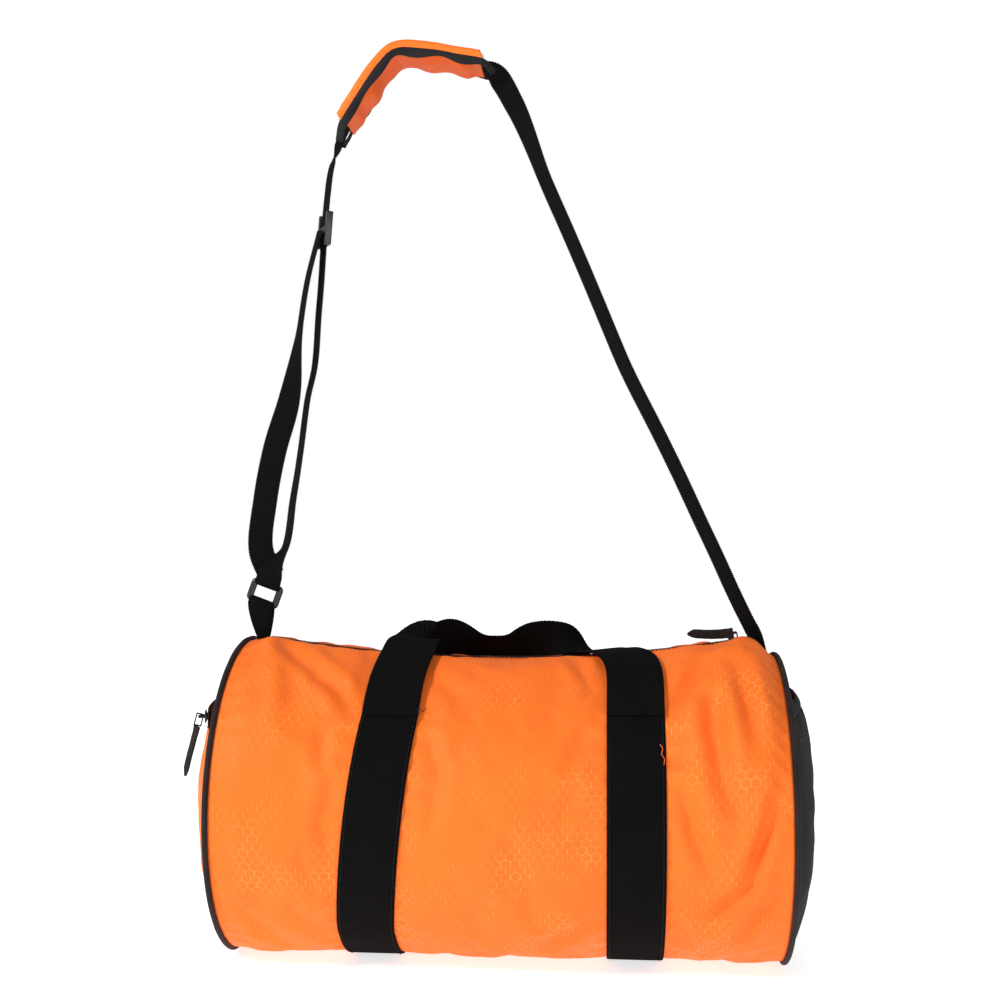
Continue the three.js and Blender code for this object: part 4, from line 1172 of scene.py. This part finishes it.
def pull_tab(name, body, start, along, wide, bow):
    """A folded strip of fabric: soft section, pointed free end, thicker where its ends are tucked in."""
    along, wide = along.normalized(), wide.normalized()
    face = along.cross(wide)
    rings, sides = 46, 20
    vertices = []
    for i in range(rings):
        s = i / (rings - 1)
        bend = bow * MM * math.sin(math.pi * s) + 0.25 * MM * speckle((s * 5, bow, 0), 2)
        point = clamp((s - 0.82) / 0.18)
        high = TAB_HALF_WIDTH * mix(1.06, 1.0, ease(s / 0.2)) * (1 - 0.96 * point**1.5)
        low = TAB_HALF_WIDTH * mix(1.0, 0.92, s) * (1 - 0.55 * point**2)
        thick = 1.15 * MM * (1 + 0.3 * math.exp(-((s / 0.12) ** 2)) - 0.2 * point)
        for k in range(sides):
            turn = TAU * k / sides
            c, d = math.cos(turn), math.sin(turn)
            sideways = (high if c > 0 else low) * math.copysign(abs(c) ** 0.7, c) + bend
            groove = 1 - 0.3 * math.exp(-((c / 0.3) ** 2))
            deep = thick * math.copysign(abs(d) ** 0.6, d) * groove
            vertices.append(start + along * (TAB_LENGTH * s) + wide * sideways + face * deep)
    tab = make_object(name + "_fabric", vertices, tube_faces(rings, sides, False), PULL)
    stand_in(tab, name, body)
    frays = []
    for n in range(4):
        root = start + along * (1 + 0.6 * n) * MM + wide * ((n - 1.5) * 2.2 * MM)
        tip = root - along * (1.6 + 0.7 * (n % 2)) * MM
        tip += wide * ((n - 1.3) * 1.6 * MM)
        tip += face * (n % 3 - 1) * MM
        frays.append(tube([root, root.lerp(tip, 0.5) + face * 0.6 * MM, tip], 0.16 * MM, sides=5))
    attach(join_meshes(name + "_frays", frays, THREAD), body)


def pull_tabs():
    pivot = Vector(joints["zip_pull_flip"]["pos_m"])
    lean = math.asin((PARKED_SLIDER_X - ZIP_LOW_X) / ZIP_ARC_RADIUS)
    ahead = Vector((math.cos(lean), 0, math.sin(lean)))
    up = Vector((-math.sin(lean), 0, math.cos(lean)))
    yaw = math.radians(27)
    along = Vector((-math.cos(yaw), math.sin(yaw), -0.06))
    start = pivot - ahead * (0.5 * MM) - Vector((0, 7.2 * MM, 0)) + up * 0.0035
    pull_tab("zip_pull_tab", "zip_pull", start, along, up, -1.3)

    pivot = Vector(joints["pocket_pull_flip"]["pos_m"])
    sideways = Vector(joints["pocket_pull_flip"]["axis"]).normalized()
    out = Vector((pivot.x - POCKET_ARC_X, pivot.y, 0)).normalized()
    tilt = math.radians(14)
    down = Vector((0, 0, -math.cos(tilt))) + out * math.sin(tilt)
    turned = Matrix.Rotation(math.radians(-35), 3, down) @ sideways
    pull_tab("pocket_pull_tab", "pocket_pull", pivot + down * 0.00915, down, turned, 0.3)


pull_tabs()

# ---------------------------------------------------------------- end pocket and mesh pocket details


def pocket_place(angle, reach, z):
    radius = POCKET_ARC_RADIUS + reach
    return Vector((POCKET_ARC_X - radius * math.cos(angle), radius * math.sin(angle), z))


def pocket_zip():
    angles = np.linspace(-POCKET_ZIP_HALF_ANGLE, POCKET_ZIP_HALF_ANGLE, 90)
    for name, side in (("pocket_tape_lower", -1), ("pocket_tape_upper", 1)):
        outer, inner = [], []
        for angle in angles:
            reaches = [(3.05, 1.7), (5.0, 1.5), (9.5, 1.2)]
            heights = [POCKET_ZIP_Z + side * z * MM for z, _ in reaches]
            outer.append([pocket_place(angle, r * MM, z) for (_, r), z in zip(reaches, heights)])
            inner.append([pocket_place(angle, (r - 0.7) * MM, z) for (_, r), z in zip(reaches, heights)])
        tape = sheet_object(name + "_woven", outer, inner, TAPE)
        stand_in(tape, name, "bag")
    pitch = COIL_PITCH / POCKET_ARC_RADIUS
    count = int(2 * POCKET_ZIP_HALF_ANGLE / pitch)

    def place(n):
        angle = -POCKET_ZIP_HALF_ANGLE + n * pitch
        along = Vector((math.sin(angle), math.cos(angle), 0))
        out = Vector((-math.cos(angle), math.sin(angle), 0))
        return pocket_place(angle, 2.1 * MM, POCKET_ZIP_Z), along, Vector((0, 0, 1)), out

    zip_coil("pocket_coil_lower", place, count, -1)
    zip_coil("pocket_coil_upper", place, count, 1)


def rim_reach(side):
    """Distance from the end's middle to its rim in the direction of a point on the end."""
    rim = [p - Vector((side * HALF_LENGTH, 0, AXIS_Z)) for p in end_rim(side, 360)]
    bearings = np.array([math.atan2(-p.y, p.z) % TAU for p in rim])
    reaches = np.array([math.hypot(p.y, p.z) for p in rim])
    order = np.argsort(bearings)

    def reach(y, z):
        bearing = math.atan2(-y, z - AXIS_Z) % TAU
        return float(np.interp(bearing, bearings[order], reaches[order], period=TAU))

    return reach


def end_surface(side, stand_off, depth, reach, y, z):
    fraction = clamp(math.hypot(y, z - AXIS_Z) / reach(y, z))
    return Vector((side * (HALF_LENGTH + stand_off + depth * (1 - fraction**DOME_POWER)), y, z))


def mesh_elastic():
    """Gathered elastic binding along the mesh pocket's mouth."""
    reach = rim_reach(1)
    half = math.sqrt((RADIUS - 5 * MM) ** 2 - (MESH_TOP_Z - AXIS_Z) ** 2) - 2 * MM
    outer, inner = [], []
    for y in np.linspace(-half, half, 150):
        ripple = 0.5 * MM * math.sin(TAU * y / 0.0062) + 0.5 * MM * speckle((y, 0, 0), 60)
        columns_out, columns_in = [], []
        for k in range(6):
            z = MESH_TOP_Z - 0.5 * MM + 10.5 * MM * k / 5
            plump = 1.1 * MM * math.sin(math.pi * k / 5)
            columns_out.append(end_surface(1, POCKET_OFF + plump + ripple, POCKET_DOME, reach, y, z))
            columns_in.append(end_surface(1, POCKET_OFF - 1.4 * MM + ripple, POCKET_DOME, reach, y, z))
        outer.append(columns_out)
        inner.append(columns_in)
    elastic = sheet_object("mesh_pocket_elastic_binding", outer, inner, TAPE)
    stand_in(elastic, "mesh_pocket_elastic", "bag")


def pocket_stitching():
    reach = rim_reach(-1)
    lines = []
    for z in (POCKET_TOP_Z - 2.5 * MM, POCKET_ZIP_Z + 11 * MM):
        off = POCKET_OFF if z < POCKET_TOP_Z else PANEL_OFF
        depth = POCKET_DOME if z < POCKET_TOP_Z else END_DOME
        ys = np.linspace(-0.082, 0.082, 70)
        lines.append([(end_surface(-1, off + 0.6 * MM, depth, reach, y, z), Vector((-1, 0, 0))) for y in ys])
    stitches("pocket_stitching", lines, "bag", ORANGE_THREAD)


pocket_zip()
mesh_elastic()
pocket_stitching()


def zip_topstitch():
    lines = []
    for side in (-1, 1):
        angle = side * 15.5 * MM / RADIUS
        places = [panel_point(x, angle % TAU) for x in np.linspace(-TOPSTITCH_HALF, TOPSTITCH_HALF, 180)]
        lines.append([(place + Vector((0, 0, 0.3 * MM)), Vector((0, 0, 1))) for place in places])
    stitches("zip_topstitching", lines, "bag", ORANGE_THREAD)


zip_topstitch()

# ---------------------------------------------------------------- shoulder strap

STRAND_TOP = Vector((-0.1745, 0, 0.708))
STRAND_FOOT = Vector((-0.187, 0, 0.545))
STRAND_DOWN = (STRAND_FOOT - STRAND_TOP).normalized()
ADJUSTER_TURN = math.radians(25)
adjuster_across = Vector((math.sin(ADJUSTER_TURN), -math.cos(ADJUSTER_TURN), 0))
adjuster_across = (adjuster_across - STRAND_DOWN * adjuster_across.dot(STRAND_DOWN)).normalized()
adjuster_out = STRAND_DOWN.cross(adjuster_across).normalized()
adjuster_centre = STRAND_TOP + STRAND_DOWN * 0.032
PAD_START = Vector((-0.157, 0, 0.772))
PAD_END = Vector((-0.017, 0, 0.826))
STRAP_BASE_X = 0.233
STRAP_RIB = 0.00028


def round_bar(height, direction, start):
    """Half a turn round a bar of the ring. start is 1 from the back, -1 from the front."""
    bar = RING_CENTRE + RING_UP * height
    radius = 3.3 * MM
    return [
        bar + Vector((0, start * radius * math.cos(math.pi * t / 4), 0))
        + RING_UP * (direction * radius * math.sin(math.pi * t / 4))
        for t in range(5)
    ]


STRAP_PLACES = [
    *round_bar(BAR_REACH, -1, 1),
    RING_CENTRE + RING_UP * 0.024 + Vector((0, -0.006, 0)),
    Vector((-0.214, -0.006, 0.372)),
    Vector((-0.207, -0.002, 0.420)),
    Vector((-0.200, 0, 0.468)),
    Vector((-0.194, 0, 0.513)),
    STRAND_FOOT,
    STRAND_FOOT.lerp(STRAND_TOP, 0.33),
    STRAND_FOOT.lerp(STRAND_TOP, 0.67),
    STRAND_TOP,
    Vector((-0.170, 0, 0.738)),
    PAD_START,
    Vector((-0.140, 0, 0.800)),
    Vector((-0.122, 0, 0.8255)),
    Vector((-0.105, 0, 0.8405)),
    Vector((-0.080, 0, 0.8400)),
    Vector((-0.050, 0, 0.8345)),
    PAD_END,
    Vector((0.006, 0, 0.792)),
    Vector((0.037, 0, 0.716)),
    Vector((0.072, 0, 0.635)),
    Vector((0.110, 0, 0.544)),
    Vector((0.152, 0, 0.459)),
    Vector((0.187, 0, 0.384)),
    Vector((0.214, 0, 0.325)),
    Vector((STRAP_BASE_X - 0.0105, 0, STRAP_HINGE.z + 0.0155)),
    Vector((STRAP_BASE_X - 0.002, 0.001, STRAP_HINGE.z - 0.001)),
    Vector((STRAP_BASE_X + 0.006, 0.004, STRAP_HINGE.z - 0.022)),
]
EDGE_ON = Vector((0, -1, 0))
FACE_TWIST = Vector((0.45, -0.9, 0.1))
NARROW = Vector((0.48, -0.88, 0.05))
WIDE_FOOT = Vector((0.62, -0.78, 0))
WIDE_RIGHT = Vector((0.55, -0.65, 0.5))


def strap_share(place):
    """Fraction of the strap's length at which it passes a place."""
    centres, arc = catmull(STRAP_PLACES, 1200)
    nearest = int(np.argmin(np.linalg.norm(centres - np.array(place), axis=1)))
    return arc[nearest] / arc[-1]


def shoulder_strap():
    share = {n: strap_share(p) for n, p in enumerate(STRAP_PLACES)}
    pad_start, pad_end = STRAP_PLACES.index(PAD_START), STRAP_PLACES.index(PAD_END)
    across = turning([
        (0, RING_ACROSS),
        (share[4], RING_ACROSS),
        (share[6], NARROW),
        (share[8], adjuster_across),
        (strap_share(STRAND_TOP), adjuster_across),
        (share[pad_start - 1], adjuster_across),
        (share[pad_start] - 0.013, EDGE_ON),
        (share[pad_end] - 0.012, EDGE_ON),
        (share[pad_end] + 0.012, WIDE_RIGHT),
        (share[pad_end + 2], FACE_TWIST),
        (share[pad_end + 6], FACE_TWIST),
        (share[pad_end + 8], NARROW),
        (1, WIDE_FOOT),
    ])
    stations = strip_frames(STRAP_PLACES, across)
    for n, (centre, side, normal, run) in enumerate(stations):
        sway = 0.5 * MM * speckle((run, 0, 0), 18, 4)
        stations[n] = (centre + normal * sway, side, normal, run)

    def width(s):
        return STRAP_WIDTH * mix(1.0, 0.62, ease((s - 0.975) / 0.025))

    strap = strip_object("strap_webbing_ribbed", stations, width, WEB, rib=STRAP_RIB)
    stand_in(strap, "strap_webbing")
    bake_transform(strap)


def ring_tab():
    foot = Vector((-0.236, 0, STRAP_HINGE.z - 0.014))
    half_gap = Vector((0, 1.3 * MM, 0))
    points = [foot - half_gap, *round_bar(-BAR_REACH, 1, -1), foot + half_gap]
    right = Vector((1, 0, 0))
    across = turning([(0, right), (0.3, RING_ACROSS), (0.7, RING_ACROSS), (1, right)])
    stations = strip_frames(points, across)

    def width(s):
        return mix(0.007, STRAP_WIDTH, math.sin(math.pi * s) ** 0.9)

    tab = strip_object("ring_tab_webbing", stations, width, WEB, thickness=1.4 * MM)
    stand_in(tab, "ring_tab")
    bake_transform(tab)


def return_strand():
    anchor = adjuster_centre + adjuster_out * (4.7 * MM) + STRAND_DOWN * MM
    points = [
        RING_CENTRE + RING_UP * 0.018 + Vector((-0.001, 0.005, 0)),
        Vector((-0.241, 0.006, 0.369)),
        Vector((-0.236, 0.003, 0.417)),
        Vector((-0.226, 0, 0.465)),
        Vector((-0.212, 0, 0.513)),
        Vector((-0.203, 0, 0.571)),
        Vector((-0.194, 0, 0.628)),
        anchor,
    ]
    face_on = Vector((1, -0.2, 0))
    across = turning([
        (0, RING_ACROSS),
        (0.18, face_on),
        (0.42, face_on),
        (0.75, adjuster_across),
        (1, adjuster_across),
    ])
    stations = strip_frames(points, across)
    strand = strip_object("strap_return_ribbed", stations, STRAP_WIDTH, WEB, rib=STRAP_RIB)
    stand_in(strand, "strap_return")
    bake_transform(strand)


shoulder_strap()
ring_tab()
return_strand()

# ---------------------------------------------------------------- shoulder pad

PAD_WIDTH = 0.046
PAD_BEND = 0.46  # where along the pad it bends over, as a fraction
# The pad's sections are worked out in millimetres, and so are these.
PAD_COVER_HALF = 24.0
PAD_LINING_HALF = 22.6
PAD_BINDING_HALF = 23.4
PAD_LENGTH = 155.0
PAD_HEM = 6.6


def pad_stations(first, last, count):
    """Stations along the strap's own curve, edge-on, between two shares of its length."""
    centres, arc = catmull(STRAP_PLACES, 2400)
    run = arc / arc[-1]
    wanted = np.linspace(first, last, count)
    points = np.stack([np.interp(wanted, run, centres[:, k]) for k in range(3)], axis=1)
    tangents = np.gradient(points, axis=0)
    stations = []
    for centre, tangent in zip(points, tangents):
        tangent = Vector(tangent).normalized()
        side = (EDGE_ON - tangent * EDGE_ON.dot(tangent)).normalized()
        stations.append((Vector(centre), side, side.cross(tangent)))
    return stations


def pad_span():
    """Shares of the strap's length between which the pad lies."""
    return strap_share(PAD_START) + 0.003, strap_share(PAD_END) - 0.006


def pad_sheet(name, section, material, node, count=90, reach=(0.0, 0.0)):
    """A closed sheet along the pad. section(s, v) gives (sideways, up) of its two faces in millimetres."""
    first, last = (share + more for share, more in zip(pad_span(), reach))
    stations = pad_stations(first, last, count)
    outer, inner, uvs = [], [], []
    columns = 24
    length = (last - first) * 1.4
    for i, (centre, side, normal) in enumerate(stations):
        s = i / (count - 1)
        row_out, row_in, row_uv = [], [], []
        for c in range(columns + 1):
            v = 2 * c / columns - 1
            (y_out, z_out), (y_in, z_in) = section(s, v)
            row_out.append(centre + side * (y_out * MM) + normal * (z_out * MM))
            row_in.append(centre + side * (y_in * MM) + normal * (z_in * MM))
            row_uv.append((v * PAD_WIDTH / 2, s * length))
        outer.append(row_out)
        inner.append(row_in)
        uvs.append(row_uv)
    stand_in(sheet_object(name, outer, inner, material, uvs), node, "strap")


def hem_pinch(s):
    """1 on the line of stitches that closes each end of the pad, fading either side of it."""
    from_end = min(s, 1 - s) * PAD_LENGTH
    return math.exp(-(((from_end - PAD_HEM) / 1.5) ** 2))


def pad_top(s, v):
    """Cover section: crowned over the foam, turned down at its sides and closed at its hemmed ends."""
    ends = min(ease(s / 0.02), ease((1 - s) / 0.02))
    turned = clamp((abs(v) - 0.70) / 0.30)
    wave = 0.7 * speckle((s * 6, v, 0), 1.4, 2) + 0.35 * speckle((s * 20, v * 2, 0), 1.0, 6)
    crest = mix(1.4, 7.6, ends) - 0.7 * hem_pinch(s)
    up = crest + 1.2 * (1 - v * v) * ends - (crest - 0.4) * turned**1.5 + wave * 0.7
    out = math.copysign(min(abs(v) / 0.82, 1.0) * PAD_COVER_HALF + 0.9 * math.sin(math.pi * turned), v)
    return (out, up + 0.6), (out * 0.97, up - 0.5)


def pad_under(s, v):
    """Lining under the strap: puffed between the bindings, tight where the pad bends over."""
    ends = min(ease(s / 0.10), ease((1 - s) / 0.10))
    loose = mix(0.35, 1.0, ease(abs(s - PAD_BEND) / 0.26))
    scallop = 0.9 + 0.35 * math.sin(TAU * 4.6 * s + 0.8) + 0.5 * speckle((s * 6, v, 0), 1.2, 9)
    down = 3.2 + ends * scallop * loose * (1.8 + 3.8 * (1 - v**4))
    out = v * PAD_LINING_HALF
    return (out, -down + 0.9), (out, -down - 0.3)


def pad_binding(side):
    """A flat black band down the pad's side, with a wavy lower edge, drawn in to the strap at its ends."""

    def section(s, v):
        t = (v + 1) / 2
        hangs = 6.6 if side > 0 else 3.0
        low = -hangs + 1.4 * math.sin(TAU * 4.2 * s + side) + 1.5 * speckle((s * 8, side, 0), 1.1, 12)
        up = mix(1.4, low, t) + 0.4 * math.sin(TAU * 3 * s)
        drawn = mix(11.5, PAD_BINDING_HALF, min(ease((s + 0.01) / 0.08), ease((1.01 - s) / 0.08)))
        plump = 1.1 * math.sin(math.pi * t) + 0.3
        return (side * (drawn + plump), up), (side * (drawn - 0.7), up)

    return section


def pad_stitching():
    """The row of stitches across the cover at each end of the pad."""
    stations = pad_stations(*pad_span(), 160)
    lines = []
    for s in (PAD_HEM / PAD_LENGTH, 1 - PAD_HEM / PAD_LENGTH):
        centre, side, normal = stations[round(s * 159)]
        line = []
        for v in np.linspace(-0.97, 0.97, 24):
            (out, up), _ = pad_top(s, v)
            facing = normal * (1 - abs(v) ** 6) + side * (v * abs(v) ** 5)
            line.append((centre + side * (out * MM) + normal * ((up + 0.15) * MM), facing))
        lines.append(line)
    stitches("pad_stitching", lines, "strap", ORANGE_THREAD)


def shoulder_pad():
    pad_sheet("pad_top_cover_fabric", pad_top, ORANGE, "pad_top_cover")
    # the lining's darker orange is painted shade
    pad_sheet("pad_under_cover_fabric", pad_under, SHADED_LINING, "pad_under_cover")
    longer = (-0.014, 0.012)
    for side, name in ((1, "pad_binding_front"), (-1, "pad_binding_rear")):
        pad_sheet(name + "_tape", pad_binding(side), TAPE, name, reach=longer)
    pad_stitching()


shoulder_pad()

# ---------------------------------------------------------------- studio


def area_light(name, place, target, size, power, glossy=True):
    light = bpy.data.lights.new(name, "AREA")
    light.shape = "DISK"
    light.size = size
    light.energy = power
    lamp = bpy.data.objects.new(name, light)
    lamp.location = place
    lamp.rotation_euler = (Vector(target) - Vector(place)).to_track_quat("-Z", "Y").to_euler()
    lamp.visible_glossy = glossy
    bpy.context.collection.objects.link(lamp)


def studio():
    scene = bpy.context.scene
    scene.view_settings.view_transform = "Standard"
    world = bpy.data.worlds.new("white_room")
    world.use_nodes = True
    tree = world.node_tree
    seen = tree.nodes.new("ShaderNodeLightPath").outputs["Is Camera Ray"]
    level = tree.nodes.new("ShaderNodeMapRange")
    level.inputs["To Min"].default_value = 0.36
    level.inputs["To Max"].default_value = 1.0
    tree.links.new(seen, level.inputs["Value"])
    tree.links.new(level.outputs[0], tree.nodes["Background"].inputs["Strength"])
    tree.nodes["Background"].inputs["Color"].default_value = (1, 1, 1, 1)
    scene.world = world
    span = 6.0
    corners = [(-span, -span, -0.003), (span, -span, -0.003), (span, span, -0.003), (-span, span, -0.003)]
    paper = Graph("pale_floor", Base_Color=(0.9, 0.9, 0.9, 1), Roughness=0.95, Specular_IOR_Level=0.0,
                  Emission_Color=(1, 1, 1, 1), Emission_Strength=0.7)
    make_object("floor", corners, [(0, 1, 2, 3)], paper.material)
    area_light("key", (-1.9, -1.5, 1.7), (0, 0, 0.2), 0.5, 50)
    area_light("fill", (1.2, -2.4, 0.9), (0, 0, 0.2), 1.2, 14)
    area_light("back", (0.4, 2.0, 2.2), (0, 0, 0.3), 1.6, 12, glossy=False)


CAMERA_AZIMUTH = math.radians(4.5)
CAMERA_DISTANCE = 1.26
CAMERA_HEIGHT = 0.417
CAMERA_SHIFT = 0.008


def camera():
    turn = CAMERA_AZIMUTH
    toward = Vector((-math.sin(turn), math.cos(turn), 0))
    right = Vector((math.cos(turn), math.sin(turn), 0))
    lens = bpy.data.cameras.new("camera")
    lens.lens = 47.7
    lens.sensor_width = 36
    eye = bpy.data.objects.new("camera", lens)
    eye.location = Vector((0, 0, CAMERA_HEIGHT)) - toward * CAMERA_DISTANCE - right * CAMERA_SHIFT
    eye.rotation_euler = toward.to_track_quat("-Z", "Y").to_euler()
    bpy.context.collection.objects.link(eye)
    bpy.context.scene.camera = eye


studio()
camera()
